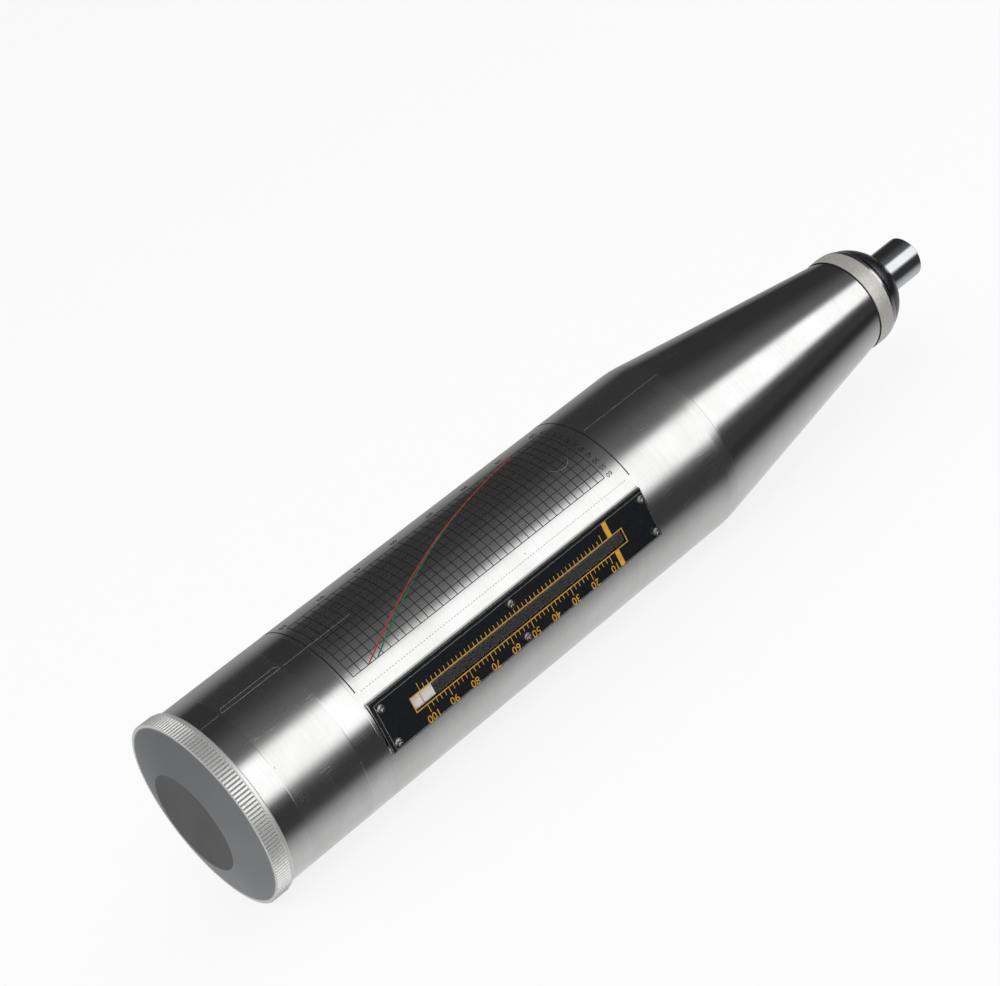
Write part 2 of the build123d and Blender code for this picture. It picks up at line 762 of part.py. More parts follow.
button_spring = coil(
    (button_x, bush_floor + spring_end_gap, 0), (button_x, button_roof - spring_end_gap, 0),
    (skirt_inner_radius + button_pin_radius) / 2, button_wire, button_turns, axis=(0, 1, 0),
)
finish(button_spring, "button_spring")
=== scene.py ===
import json
from math import pi, radians

import bpy
from bpy.props import FloatProperty, FloatVectorProperty, IntProperty, PointerProperty
from mathutils import Matrix, Vector

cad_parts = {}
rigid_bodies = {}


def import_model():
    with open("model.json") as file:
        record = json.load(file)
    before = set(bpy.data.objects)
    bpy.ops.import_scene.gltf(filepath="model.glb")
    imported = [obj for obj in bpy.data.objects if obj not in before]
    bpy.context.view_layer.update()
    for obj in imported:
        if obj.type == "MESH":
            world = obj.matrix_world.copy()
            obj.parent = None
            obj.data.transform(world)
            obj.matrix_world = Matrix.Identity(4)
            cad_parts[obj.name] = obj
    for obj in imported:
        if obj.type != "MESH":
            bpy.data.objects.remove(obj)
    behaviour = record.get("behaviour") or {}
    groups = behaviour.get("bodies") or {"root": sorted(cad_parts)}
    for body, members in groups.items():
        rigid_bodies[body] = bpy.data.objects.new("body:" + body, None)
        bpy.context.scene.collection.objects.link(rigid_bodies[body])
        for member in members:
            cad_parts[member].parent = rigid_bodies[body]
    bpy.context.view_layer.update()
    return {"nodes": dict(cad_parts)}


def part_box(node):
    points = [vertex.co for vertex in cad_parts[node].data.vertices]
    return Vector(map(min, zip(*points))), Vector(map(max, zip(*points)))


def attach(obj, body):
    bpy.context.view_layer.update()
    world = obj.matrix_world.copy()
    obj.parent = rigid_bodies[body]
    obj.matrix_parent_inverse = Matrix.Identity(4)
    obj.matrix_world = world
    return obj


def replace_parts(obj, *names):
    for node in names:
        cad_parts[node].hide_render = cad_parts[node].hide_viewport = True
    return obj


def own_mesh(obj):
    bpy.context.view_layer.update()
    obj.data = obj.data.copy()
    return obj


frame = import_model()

bl_info = {
    "name": "Concrete Rebound Hammer",
    "version": (1, 0, 0),
    "blender": (4, 5, 0),
    "location": "View3D > Sidebar > Hammer",
    "description": "Prints, finishes and studio for a concrete rebound hammer",
    "category": "Object",
}

# The tool lies along +X with its scale facing -Y. Angles round the barrel are counted from the scale
# (0 degrees) over the top (90 degrees). All sizes are in metres.
MM = 0.001
BARREL_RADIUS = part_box("housing")[1].y
CAP_REAR_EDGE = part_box("housing")[1].x
CONE_START = 176.0 * MM
CONE_SLOPE = 0.1505
COVER_LIP = 3.35 * MM
COVER_DISC_RADIUS = 14.925 * MM
KNURL_VALLEY_RADIUS = 27.74 * MM
FILM_REAR = 44.2 * MM
PLATE_LOW, PLATE_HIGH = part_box("scale_plate")
PLATE_FACE = -PLATE_LOW.y
WINDOW_LOW, WINDOW_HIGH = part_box("window")
WINDOW_MARGIN = 0.02 * MM
RIDER_FACE = -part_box("pointer_block")[0].y
MARK_100 = 59.7 * MM
DIVISION = 0.75 * MM
TEN_MARKS = [MARK_100 + 10 * step * DIVISION for step in range(10)]
SCREW_PLACES = [(x * MM, z * MM) for x in (47.6, 94.1, 143.6) for z in (-5.2, 5.2)]
# Spring, the body that carries it, the joint that closes it, its axis, its fixed end and what is left of it
WORKING_SPRINGS = (
    ("impact_spring", "barrel", "hammer_strike", (1, 0, 0), (0.2367, 0, 0), 0.44),
    ("buffer_spring", "core", "plunger_cushion", (1, 0, 0), (0.2047, 0, 0), 0.85),
    ("button_spring", "barrel", "button_press", (0, 1, 0), (0.0415, 0.0257, 0), 0.5),
)
# The surroundings that polished metal shows: a soft box, dark cards and a grey table, as angles above
# the horizontal that faces the scale (degrees, on over the top to 180) and their brightness.
SURROUNDINGS = (
    (-180, 0.27), (-170, 0.32), (-160, 0.62), (-140, 0.62), (-120, 0.54), (-98, 0.52), (-84, 0.45),
    (-74, 0.36), (-66, 0.27), (-58, 0.12), (-50, 0.04), (-20, 0.035), (-10, 0.1), (-5, 0.5), (0, 1.0),
    (3, 1.1), (38, 1.1), (43, 0.8), (48, 0.25), (54, 0.12), (70, 0.085), (84, 0.045), (98, 0.025),
    (148, 0.025), (156, 0.1), (166, 0.19), (180, 0.27),
)
LAMP_PLACE = Vector((-0.35, -1.0, 1.25))
LAMP_AIM = Vector((0.14, 0, 0))
LAMP_SIDES = (1.6, 1.0)
CAMERA_PLACE = (-0.18163, -0.55288, 0.24572)
CAMERA_RIGHT = Vector((0.7047, -0.56316, -0.43156))
CAMERA_DOWN = Vector((-0.54589, -0.04181, -0.83681))
CAMERA_AHEAD = Vector((0.45321, 0.82529, -0.33689))


# Settings shown in the panel

def length(name, description, default):
    return FloatProperty(name=name, description=description, default=default, unit="LENGTH", precision=5)


def angle(name, description, default):
    return FloatProperty(
        name=name, description=description, default=radians(default), subtype="ANGLE", unit="ROTATION"
    )


def amount(name, description, default):
    return FloatProperty(
        name=name, description=description, default=default, min=0.0, max=1.0, subtype="FACTOR"
    )


def colour(name, description, default):
    return FloatVectorProperty(
        name=name, description=description, default=default, min=0.0, max=1.0, size=3, subtype="COLOR"
    )


class ChartSettings(bpy.types.PropertyGroup):
    """The conversion chart printed round the barrel"""

    grid_rear: length("Grid rear line", "Place of the rearmost grid line along the tool", 47.75 * MM)
    grid_start: angle("Grid first line", "Angle of the grid line nearest the scale plate", 32.0)
    cell: length("Cell", "Side of one grid cell", 2.636 * MM)
    columns: IntProperty(name="Columns", description="Cells along the tool", default=35, min=5)
    rows: IntProperty(name="Rows", description="Cells round the barrel", default=10, min=2)
    line: length("Line width", "Width of a grid line", 0.22 * MM)
    border_rear: length("Rear border", "Place of the rear border line", 45.3 * MM)
    border_front: length("Front border", "Place of the front border line", 146.4 * MM)
    border_line: length("Border width", "Width of a border line", 0.34 * MM)
    border_start: angle("Border start", "Angle where the border lines begin, beside the plate", 24.5)
    border_end: angle("Border end", "Angle where the border lines close, behind the chart", 118.0)
    number_height: length("Number height", "Height of the chart's numbers", 1.7 * MM)
    curve_line: length("Curve width", "Width of a conversion curve", 0.42 * MM)
    proud: length("Ink height", "How far the ink stands above the barrel", 0.02 * MM)
    ink: colour("Ink", "Black printing ink", (0.016, 0.016, 0.018))
    red: colour("Red curve", "Ink of the upper conversion curve", (0.42, 0.02, 0.035))
    green: colour("Green curve", "Ink of the lower conversion curve", (0.0, 0.16, 0.06))


class ScaleSettings(bpy.types.PropertyGroup):
    """The print on the scale plate and the screws that hold it"""

    tick: length("Short tick", "Length of a tick for two divisions", 1.3 * MM)
    ten_tick: length("Long tick", "Length of a tick for ten divisions", 2.3 * MM)
    tick_width: length("Tick width", "Width of a tick", 0.2 * MM)
    outline: length("Outline width", "Width of the line round the slot", 0.28 * MM)
    number_height: length("Number height", "Height of the scale's numbers", 2.1 * MM)
    number_row: length("Number row", "Distance of the row of numbers from the middle", 5.95 * MM)
    bar_place: length("Bar place", "Rear edge of the thick bars", 129.3 * MM)
    bar_width: length("Bar width", "Width of the thick bars along the scale", 1.6 * MM)
    bar_reach: length("Bar reach", "Distance of the bars' outer ends from the middle", 6.8 * MM)
    proud: length("Ink height", "How far the print stands above the plate", 0.02 * MM)
    gold: colour("Print", "Yellow printing ink", (0.74, 0.38, 0.03))
    rider_red: colour("Rider line", "Ink of the thin line across the rider", (0.62, 0.03, 0.05))
    screw_radius: length("Screw head radius", "Radius of a scale screw's head", 1.15 * MM)
    screw_height: length("Screw head height", "Height of a scale screw's head", 0.8 * MM)


class FinishSettings(bpy.types.PropertyGroup):
    """Metals, plastics and the clear film"""

    barrel: colour("Barrel", "Polished aluminium of the barrel", (0.93, 0.935, 0.93))
    knurl: colour("Knurl", "Bright aluminium of the knurled rim", (0.95, 0.95, 0.94))
    # The grey of the cover's cone and the darker grey of its centre are painted dark reflection on aluminium
    # as bright as the knurl.
    end_face_painted_reflection: colour("End cover face", "Satin aluminium of the cover's shallow cone", (0.40, 0.41, 0.42))
    end_disc_painted_reflection: colour("End cover centre", "Darker flat centre of the cover", (0.19, 0.19, 0.195))
    nose_band: colour("Nose band", "Matt band of the front cap", (0.80, 0.79, 0.74))
    steel: colour("Polished steel", "Ground and polished steel", (0.84, 0.85, 0.88))
    black: colour("Black plate", "Black anodised plate", (0.006, 0.007, 0.009))
    ivory: colour("Rider", "Ivory plastic of the rider", (0.86, 0.83, 0.74))
    brass: colour("Brass", "Turned brass", (0.78, 0.58, 0.28))
    film_rough: amount("Film haze", "Extra roughness under the clear film", 0.06)
    film_front: length("Film front edge", "Where the clear film ends before the cone", 177.2 * MM)
    label_rear: length("Label rear edge", "Rear edge of the narrow clear label", 16.0 * MM)
    label_front: length("Label front edge", "Front edge of the narrow clear label", 36.7 * MM)


class StudioSettings(bpy.types.PropertyGroup):
    """Floor, lights and camera"""

    floor_size: length("Floor size", "Side of the floor", 30.0)
    floor_level: length("Floor level", "Height of the floor under the lying tool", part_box("rear_cover")[0].z)
    floor_glow: amount("Floor glow", "Share of plain white in the floor as the camera sees it", 0.84)
    room_light: amount("Room light", "Level of the even light from all round", 0.72)
    lamp_power: FloatProperty(
        name="Lamp power", description="Power of the large soft lamp", default=9.0, min=0.0, unit="POWER"
    )
    lens: FloatProperty(
        name="Lens", description="Focal length for a 36 mm sensor", default=88.585, unit="CAMERA"
    )


class HammerSettings(bpy.types.PropertyGroup):
    """All settings of the rebound hammer"""

    chart: PointerProperty(type=ChartSettings)
    scale: PointerProperty(type=ScaleSettings)
    finish: PointerProperty(type=FinishSettings)
    studio: PointerProperty(type=StudioSettings)


# Modelling helpers

def pick(*objects):
    """Select only these objects and make the first one active."""
    bpy.ops.object.select_all(action="DESELECT")
    for item in objects:
        item.select_set(True)
    bpy.context.view_layer.objects.active = objects[0] if objects else None


def apply_place(item):
    """Move an object's place, turn and scale into its mesh."""
    pick(item)
    bpy.ops.object.transform_apply(location=True, rotation=True, scale=True)
    return item


def apply_modifier(item, kind, **settings):
    """Add a modifier with these settings and apply it."""
    pick(item)
    modifier = item.modifiers.new(kind.title(), kind)
    for key, value in settings.items():
        setattr(modifier, key, value)
    bpy.ops.object.modifier_apply(modifier=modifier.name)
    return item


def edit_all(item, operator, **options):
    """Run one edit-mode operator on the whole of a mesh."""
    pick(item)
    bpy.ops.object.mode_set(mode="EDIT")
    bpy.ops.mesh.select_all(action="SELECT")
    operator(**options)
    bpy.ops.object.mode_set(mode="OBJECT")


def flat_strip(x0, x1, z0, z1, rows=1):
    """A flat rectangle in the XZ plane, facing -Y, cut into rows along Z so that it can be bent."""
    pick()
    bpy.ops.mesh.primitive_grid_add(
        x_subdivisions=1,
        y_subdivisions=rows,
        size=1,
        location=((x0 + x1) / 2, 0, (z0 + z1) / 2),
        rotation=(pi / 2, 0, 0),
    )
    item = bpy.context.object
    item.scale = (x1 - x0, z1 - z0, 1)
    return apply_place(item)


def cross_strip(place, width, low, high, rows=1):
    """A strip across the tool, its width centred on a place along it."""
    return flat_strip(place - width / 2, place + width / 2, low, high, rows)


def long_strip(rear, front, height, width):
    """A strip along the tool, its width centred on a height."""
    return flat_strip(rear, front, height - width / 2, height + width / 2)


def in_a_row(item, count, step):
    """Repeat a mesh in a straight row."""
    offset = {"use_relative_offset": False, "use_constant_offset": True, "constant_offset_displace": step}
    return apply_modifier(item, "ARRAY", count=count, **offset)


def printed_number(text, height, x, z):
    """A flat number centred on x and z that reads towards -X with its top towards -Z, facing -Y."""
    pick()
    bpy.ops.object.text_add()
    item = bpy.context.object
    item.data.body = text
    item.data.resolution_u = 4
    bpy.ops.object.convert(target="MESH")
    xs = [v.co.x for v in item.data.vertices]
    ys = [v.co.y for v in item.data.vertices]
    item.data.transform(Matrix.Translation((-(max(xs) + min(xs)) / 2, -(max(ys) + min(ys)) / 2, 0)))
    item.scale = (height / (max(ys) - min(ys)),) * 3
    item.rotation_euler = (pi / 2, pi, 0)
    item.location = (x, 0, z)
    return apply_place(item)


def face_scale_side(item):
    """Turn every face of a flat piece to look along -Y."""
    edit_all(item, bpy.ops.mesh.normals_make_consistent, inside=False)
    if sum(polygon.normal.y for polygon in item.data.polygons) > 0:
        edit_all(item, bpy.ops.mesh.flip_normals)
    return item


def drawn_line(start, start_handle, end_handle, end, width):
    """A flat curved line in the XZ plane from four Bezier points (x, z), widened along Z."""
    pick()
    bpy.ops.curve.primitive_bezier_curve_add()
    item = bpy.context.object
    item.data.resolution_u = 32
    for point, place, left, right in zip(
        item.data.splines[0].bezier_points, (start, end), (start, end_handle), (start_handle, end)
    ):
        point.handle_left_type = point.handle_right_type = "FREE"
        point.co = (place[0], 0, place[1])
        point.handle_left = (left[0], 0, left[1])
        point.handle_right = (right[0], 0, right[1])
    bpy.ops.object.convert(target="MESH")
    edit_all(item, bpy.ops.mesh.extrude_edges_move, TRANSFORM_OT_translate={"value": (0, 0, width)})
    item.data.transform(Matrix.Translation((0, 0, -width / 2)))
    return face_scale_side(item)


def wrap_round_barrel(item, radius):
    """Bend a flat print round the tool's axis: its height becomes the arc's length."""
    heights = [v.co.z for v in item.data.vertices]
    bend = (max(heights) - min(heights)) / radius
    apply_modifier(item, "SIMPLE_DEFORM", deform_method="BEND", deform_axis="X", angle=bend)
    item.location.y = -radius
    apply_place(item)
    worst = max(abs(Vector((v.co.y, v.co.z)).length - radius) for v in item.data.vertices)
    if worst > 0.001 * MM:
        raise RuntimeError(f"{item.name} doesn't lie on the barrel: it is {worst} m off")


def join(items, name):
    """Join pieces of one print into one object."""
    pick(*items)
    if len(items) > 1:
        bpy.ops.object.join()
    items[0].name = items[0].data.name = name
    return items[0]


def place_piece(item, body, material):
    """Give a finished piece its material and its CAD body."""
    item.data.materials.clear()
    item.data.materials.append(material)
    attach(item, body)
    return item


def print_on_barrel(items, name, proud, material):
    """Join flat prints, wrap them round the barrel and give them a depth that reaches into it."""
    item = join(items, name)
    wrap_round_barrel(item, BARREL_RADIUS + proud)
    apply_modifier(item, "SOLIDIFY", thickness=0.04 * MM, offset=-1.0)
    return place_piece(item, "barrel", material)


def print_on_flat(items, name, face, body, material):
    """Join flat prints, lay them on a flat face and give them a depth that reaches into it."""
    item = join(items, name)
    item.location.y = -face
    apply_place(item)
    apply_modifier(item, "SOLIDIFY", thickness=0.03 * MM, offset=-1.0)
    return place_piece(item, body, material)


def print_on_plate(items, name, scale, lift=0.0):
    """Print in yellow on the scale plate."""
    gold = ink_named("plate_print", scale.gold)
    return print_on_flat(items, name, PLATE_FACE + scale.proud + lift, "barrel", gold)


def arc_length(turn):
    """Distance along the barrel's surface from the scale for an angle round the axis."""
    return BARREL_RADIUS * turn


def grid_edges(chart):
    """Rear, front, near and far edge of the chart's grid, the last two along the barrel's surface."""
    near = arc_length(chart.grid_start)
    front = chart.grid_rear + chart.columns * chart.cell
    return chart.grid_rear, front, near, near + chart.rows * chart.cell


def dress(material, *nodes):
    """Put a material on CAD nodes."""
    for name in nodes:
        for slot in frame["nodes"][name].material_slots:
            slot.material = material


# Shader helpers and shared node groups

def set_inputs(tree, node, inputs):
    """Set a node's inputs, each to a value or to the socket that feeds it."""
    for key, value in inputs.items():
        if isinstance(value, bpy.types.NodeSocket):
            tree.links.new(value, node.inputs[key])
        else:
            node.inputs[key].default_value = value
    return node


def put(tree, kind, inputs, **settings):
    """Add a shader node."""
    node = tree.nodes.new("ShaderNode" + kind)
    for key, value in settings.items():
        setattr(node, key, value)
    return set_inputs(tree, node, inputs)


def calc(tree, operation, *values, clamp=False):
    """One step of arithmetic."""
    return put(tree, "Math", dict(enumerate(values)), operation=operation, use_clamp=clamp).outputs[0]


def total(tree, *terms):
    """A constant and weighted masks added up: total(tree, 0.1, (mask, 0.05), ...)."""
    value = terms[0]
    for mask, weight in terms[1:]:
        value = calc(tree, "MULTIPLY_ADD", mask, weight, value)
    return value


def ramp(tree, value, low, high, to_low=0.0, to_high=1.0, smooth=True):
    """Carry a value from one range to another."""
    return put(
        tree,
        "MapRange",
        {"Value": value, "From Min": low, "From Max": high, "To Min": to_low, "To Max": to_high},
        interpolation_type="SMOOTHSTEP" if smooth else "LINEAR",
    ).outputs["Result"]


def below(tree, value, edge, soft):
    """Mask that is 1 below an edge, softened over a width."""
    return ramp(tree, value, edge - soft / 2, edge + soft / 2, 1.0, 0.0)


def above(tree, value, edge, soft):
    """Mask that is 1 above an edge, softened over a width."""
    return ramp(tree, value, edge - soft / 2, edge + soft / 2)


def tint(tree, mask, first, second):
    """Mix two colours by a mask."""
    ends = [value if isinstance(value, bpy.types.NodeSocket) else (*value, 1.0) for value in (first, second)]
    return put(tree, "Mix", {"Factor": mask, 6: ends[0], 7: ends[1]}, data_type="RGBA").outputs[2]


def noise(tree, vector, scale, detail, roughness=0.5):
    """Cloudy noise over a vector."""
    inputs = {"Vector": vector, "Scale": scale, "Detail": detail, "Roughness": roughness}
    return put(tree, "TexNoise", inputs).outputs["Fac"]


def parts(tree, vector):
    """The three numbers of a vector."""
    return put(tree, "SeparateXYZ", {0: vector}).outputs


def drawn_out(tree, along, part, factor):
    """A vector for noise: a number along the tool, and the two places across it times a factor."""
    sides = {side: calc(tree, "MULTIPLY", part[side], factor) for side in (1, 2)}
    return put(tree, "CombineXYZ", {0: along, **sides}).outputs[0]


def bump(tree, height, distance):
    """A normal from a height."""
    return put(tree, "Bump", {"Height": height, "Distance": distance, "Strength": 1.0}).outputs["Normal"]


def new_group(name, inputs, outputs):
    """An empty shader node group with named float and vector sockets."""
    group = bpy.data.node_groups.new(name, "ShaderNodeTree")
    for socket, default in inputs:
        kind = "NodeSocketVector" if default is None else "NodeSocketFloat"
        made = group.interface.new_socket(name=socket, in_out="INPUT", socket_type=kind)
        if default is not None:
            made.default_value = default
    for socket in outputs:
        group.interface.new_socket(name=socket, in_out="OUTPUT", socket_type="NodeSocketFloat")
    source = group.nodes.new("NodeGroupInput")
    target = group.nodes.new("NodeGroupOutput")
    return group, source.outputs, lambda name, value: group.links.new(value, target.inputs[name])


def span_group():
    """Mask that is 1 between two places, with soft ends."""
    group, given, give = new_group(
        "Span", [("Value", 0.0), ("Start", 0.0), ("End", 1.0), ("Soft", 0.0001)], ["Mask"]
    )
    half = calc(group, "MULTIPLY", given["Soft"], 0.5)
    rise, fall = (
        ramp(
            group,
            given["Value"],
            calc(group, "SUBTRACT", given[end], half),
            calc(group, "ADD", given[end], half),
        )
        for end in ("Start", "End")
    )
    give("Mask", calc(group, "MULTIPLY", rise, calc(group, "SUBTRACT", 1.0, fall)))
    return group


def turned_marks_group():
    """Fine rings left by turning, on faces and on cylinders alike, and broad clouds of handling."""
    group, given, give = new_group(
        "Turned Marks",
        [("Position", None), ("Rings", 1500.0), ("Round", 12.0), ("Cloud Scale", 90.0)],
        ["Marks", "Clouds", "Radius"],
    )
    part = parts(group, given["Position"])
    across = put(group, "CombineXYZ", {0: 0.0, 1: part[1], 2: part[2]}).outputs[0]
    radius = put(group, "VectorMath", {0: across}, operation="LENGTH").outputs["Value"]
    along = calc(group, "MULTIPLY", calc(group, "ADD", part[0], radius), given["Rings"])
    marks = noise(group, drawn_out(group, along, part, given["Round"]), 1.0, 3.0, 0.6)
    clouds = noise(group, given["Position"], given["Cloud Scale"], 3.0)
    give("Marks", ramp(group, marks, 0.3, 0.7))
    give("Clouds", ramp(group, clouds, 0.35, 0.65))
    give("Radius", radius)
    return group


def scratches_group():
    """Thin lengthwise scratches and small pits."""
    group, given, give = new_group(
        "Scratches",
        [("Position", None), ("Length Scale", 22.0), ("Width Scale", 900.0), ("Thin", 0.012)],
        ["Scratches", "Pits"],
    )
    part = parts(group, given["Position"])
    along = calc(group, "MULTIPLY", part[0], given["Length Scale"])
    streaks = noise(group, drawn_out(group, along, part, given["Width Scale"]), 1.0, 1.0)
    middle = calc(group, "ABSOLUTE", calc(group, "SUBTRACT", streaks, 0.5))
    lines = ramp(group, middle, 0.0, given["Thin"], 1.0, 0.0)
    sparse = noise(group, given["Position"], 140.0, 1.0)
    give("Scratches", calc(group, "MULTIPLY", lines, ramp(group, sparse, 0.56, 0.62)))
    cells = put(group, "TexVoronoi", {"Vector": given["Position"], "Scale": 420.0}).outputs
    lot = put(group, "SeparateColor", {0: cells["Color"]}).outputs[0]
    pits = below(group, cells["Distance"], 0.11, 0.1)
    give("Pits", calc(group, "MULTIPLY", pits, calc(group, "GREATER_THAN", lot, 0.94)))
    return group


def print_wear_group():
    """Uneven ink: grain and slow changes of tone."""
    group, given, give = new_group("Print Wear", [("Position", None), ("Grain", 9000.0)], ["Tone", "Grit"])
    give("Tone", ramp(group, noise(group, given["Position"], 700.0, 2.0), 0.3, 0.7))
    give("Grit", ramp(group, noise(group, given["Position"], given["Grain"], 2.0), 0.3, 0.7))
    return group


GROUP_MAKERS = {
    "Span": span_group,
    "Turned Marks": turned_marks_group,
    "Scratches": scratches_group,
    "Print Wear": print_wear_group,
}


def use_group(tree, name, **inputs):
    """Place a shared node group, building it the first time it is asked for."""
    node = tree.nodes.new("ShaderNodeGroup")
    node.node_tree = bpy.data.node_groups.get(name) or GROUP_MAKERS[name]()
    set_inputs(tree, node, {socket_name(key): value for key, value in inputs.items()})
    return node.outputs


def span(tree, value, start, end, soft):
    """Mask that is 1 between two places."""
    return use_group(tree, "Span", value=value, start=start, end=end, soft=soft)["Mask"]


def socket_name(key):
    """A socket's own name: base_color is Base Color, ior is IOR."""
    return key.replace("_", " ").title().replace("Ior", "IOR")


def new_material(name, **sockets):
    """A Principled material with these constants, its tree and the object coordinates."""
    material = bpy.data.materials.new(name)
    material.use_nodes = True
    tree = material.node_tree
    feed(tree, **sockets)
    return material, tree, tree.nodes.new("ShaderNodeTexCoord").outputs["Object"]


def feed(tree, **sockets):
    """Set the shader's sockets to constants or to what varies over the surface."""
    named = {socket_name(key): value for key, value in sockets.items()}
    set_inputs(tree, tree.nodes["Principled BSDF"], named)


# Materials

def turned_metal(name, clean, marked, rough, rings=1500.0):
    """Turned or ground metal with rings, clouds of handling and a few scratches."""
    material, tree, position = new_material(name, metallic=1.0)
    marks = use_group(tree, "Turned Marks", position=position, rings=rings)
    lines = use_group(tree, "Scratches", position=position)
    shade = total(tree, 0.0, (marks["Marks"], 0.55), (marks["Clouds"], 0.3), (lines["Pits"], 0.5))
    relief = total(tree, 0.0, (marks["Marks"], 1.0), (lines["Scratches"], -0.5))
    feed(
        tree,
        base_color=tint(tree, shade, clean, marked),
        roughness=total(
            tree, rough, (marks["Clouds"], 0.05), (marks["Marks"], 0.04), (lines["Scratches"], 0.1)
        ),
        normal=bump(tree, relief, 0.004 * MM),
    )
    return material


def barrel_metal(finish):
    """Polished aluminium, bare at both ends and under a clear film between, with painted shade on the inner
    surfaces.
    """
    material, tree, position = new_material("barrel_aluminium", metallic=1.0)
    marks = use_group(tree, "Turned Marks", position=position, rings=5200.0, round=30.0)
    lines = use_group(tree, "Scratches", position=position)
    x = parts(tree, position)[0]
    outside = above(tree, marks["Radius"], BARREL_RADIUS - 0.4 * MM, 0.2 * MM)
    label = span(tree, x, finish.label_rear, finish.label_front, 0.12 * MM)
    film = span(tree, x, FILM_REAR, finish.film_front, 0.12 * MM)
    covered = calc(tree, "MULTIPLY", calc(tree, "ADD", label, film, clamp=True), outside)
    past_shoulder = calc(tree, "MAXIMUM", calc(tree, "SUBTRACT", x, CONE_START), 0.0)
    skin = calc(tree, "MULTIPLY_ADD", past_shoulder, -CONE_SLOPE, BARREL_RADIUS)
    # Painted shade: the barrel's inner surfaces, more than 0.6 mm below its outer skin, are coloured near
    # black.
    inside = above(tree, calc(tree, "SUBTRACT", skin, marks["Radius"]), 0.6 * MM, 0.2 * MM)
    shade = total(tree, 0.0, (marks["Marks"], 0.35), (marks["Clouds"], 0.4), (covered, 0.25))
    shown = tint(tree, shade, finish.barrel, (0.84, 0.845, 0.83))
    shown = tint(tree, lines["Pits"], shown, (0.6, 0.6, 0.6))
    haze = total(tree, 0.1, (covered, finish.film_rough), (inside, 0.4))
    relief = total(tree, 0.0, (marks["Marks"], 0.012), (covered, 1.0), (lines["Scratches"], 0.05))
    feed(
        tree,
        # The near black on the inner surfaces is painted shade.
        base_color=tint(tree, inside, shown, (0.035, 0.035, 0.037)),
        roughness=total(
            tree, haze, (marks["Clouds"], 0.035), (marks["Marks"], 0.03), (lines["Scratches"], 0.12)
        ),
        normal=bump(tree, relief, 0.03 * MM),
    )
    return material


def cover_metal(finish):
    """End cover: bright knurl and lip with painted shade in the knurl's valleys, a satin cone painted grey as
    a dark reflection, and a flat centre painted a darker grey as a dark reflection.
    """
    material, tree, position = new_material("cover_aluminium")
    marks = use_group(tree, "Turned Marks", position=position, rings=2600.0, round=4.0)
    lines = use_group(tree, "Scratches", position=position)
    x = parts(tree, position)[0]
    face = below(tree, x, COVER_LIP, 0.2 * MM)
    # Painted dark reflection: the flat centre is coloured a darker grey than the cone.
    centre = calc(
        tree,
        "MULTIPLY",
        below(tree, marks["Radius"], COVER_DISC_RADIUS, 0.15 * MM),
        below(tree, x, 0.175 * MM, 0.25 * MM),
    )
    # Painted shade: the knurl's valleys are coloured darker than its crests.
    painted_valley_shade = calc(
        tree,
        "MULTIPLY",
        below(tree, marks["Radius"], KNURL_VALLEY_RADIUS, 0.32 * MM),
        span(tree, x, 3.5 * MM, 7.75 * MM, 0.1 * MM),
    )
    # Painted dark reflection: the cone's grey colour stands in for the dark surroundings it reflects; its
    # higher roughness is the satin finish.
    satin_painted_reflection = tint(tree, total(tree, 0.0, (marks["Marks"], 0.2)), finish.end_face_painted_reflection, (0.46, 0.47, 0.48))
    shown = tint(tree, face, tint(tree, painted_valley_shade, finish.knurl, (0.5, 0.5, 0.49)), satin_painted_reflection)
    shown = tint(tree, centre, shown, finish.end_disc_painted_reflection)
    relief = total(tree, 0.0, (marks["Marks"], 1.0), (lines["Scratches"], -0.6))
    feed(
        tree,
        base_color=tint(tree, calc(tree, "MULTIPLY", lines["Pits"], 0.4), shown, (0.2, 0.2, 0.2)),
        metallic=total(tree, 0.72, (face, 0.2)),
        roughness=total(
            tree, 0.26, (face, 0.24), (painted_valley_shade, 0.15), (marks["Marks"], 0.05), (marks["Clouds"], 0.04)
        ),
        normal=bump(tree, relief, 0.005 * MM),
    )
    return material


def nose_cap_metal(finish):
    """Front cap: dark joint line, sand-blasted band, polished bevel and dark polished dome."""
    material, tree, position = new_material("nose_cap", metallic=1.0)
    marks = use_group(tree, "Turned Marks", position=position, rings=2200.0, cloud_scale=260.0)
    x = parts(tree, position)[0]
    ragged = noise(tree, position, 900.0, 3.0)
    wander = calc(tree, "MULTIPLY_ADD", ragged, 0.5 * MM, x)
    joint = below(tree, wander, CAP_REAR_EDGE + 0.475 * MM, 0.25 * MM)
    band = span(tree, x, CAP_REAR_EDGE, CAP_REAR_EDGE + 5.6 * MM, 0.12 * MM)
    dome = above(tree, x, CAP_REAR_EDGE + 7.8 * MM, 0.2 * MM)
    speck = ramp(tree, ragged, 0.35, 0.65)
    bevel = tint(tree, marks["Marks"], (0.9, 0.9, 0.89), (0.8, 0.8, 0.79))
    blasted = tint(tree, speck, finish.nose_band, (0.70, 0.69, 0.64))
    shown = tint(tree, band, tint(tree, dome, bevel, (0.47, 0.48, 0.53)), blasted)
    feed(
        tree,
        base_color=tint(tree, joint, shown, (0.06, 0.06, 0.055)),
        metallic=total(tree, 1.0, (band, -0.4)),
        roughness=total(tree, 0.14, (band, 0.3), (dome, 0.1), (marks["Clouds"], 0.05), (joint, 0.2)),
        normal=bump(tree, calc(tree, "MULTIPLY", speck, band), 0.012 * MM),
    )
    return material


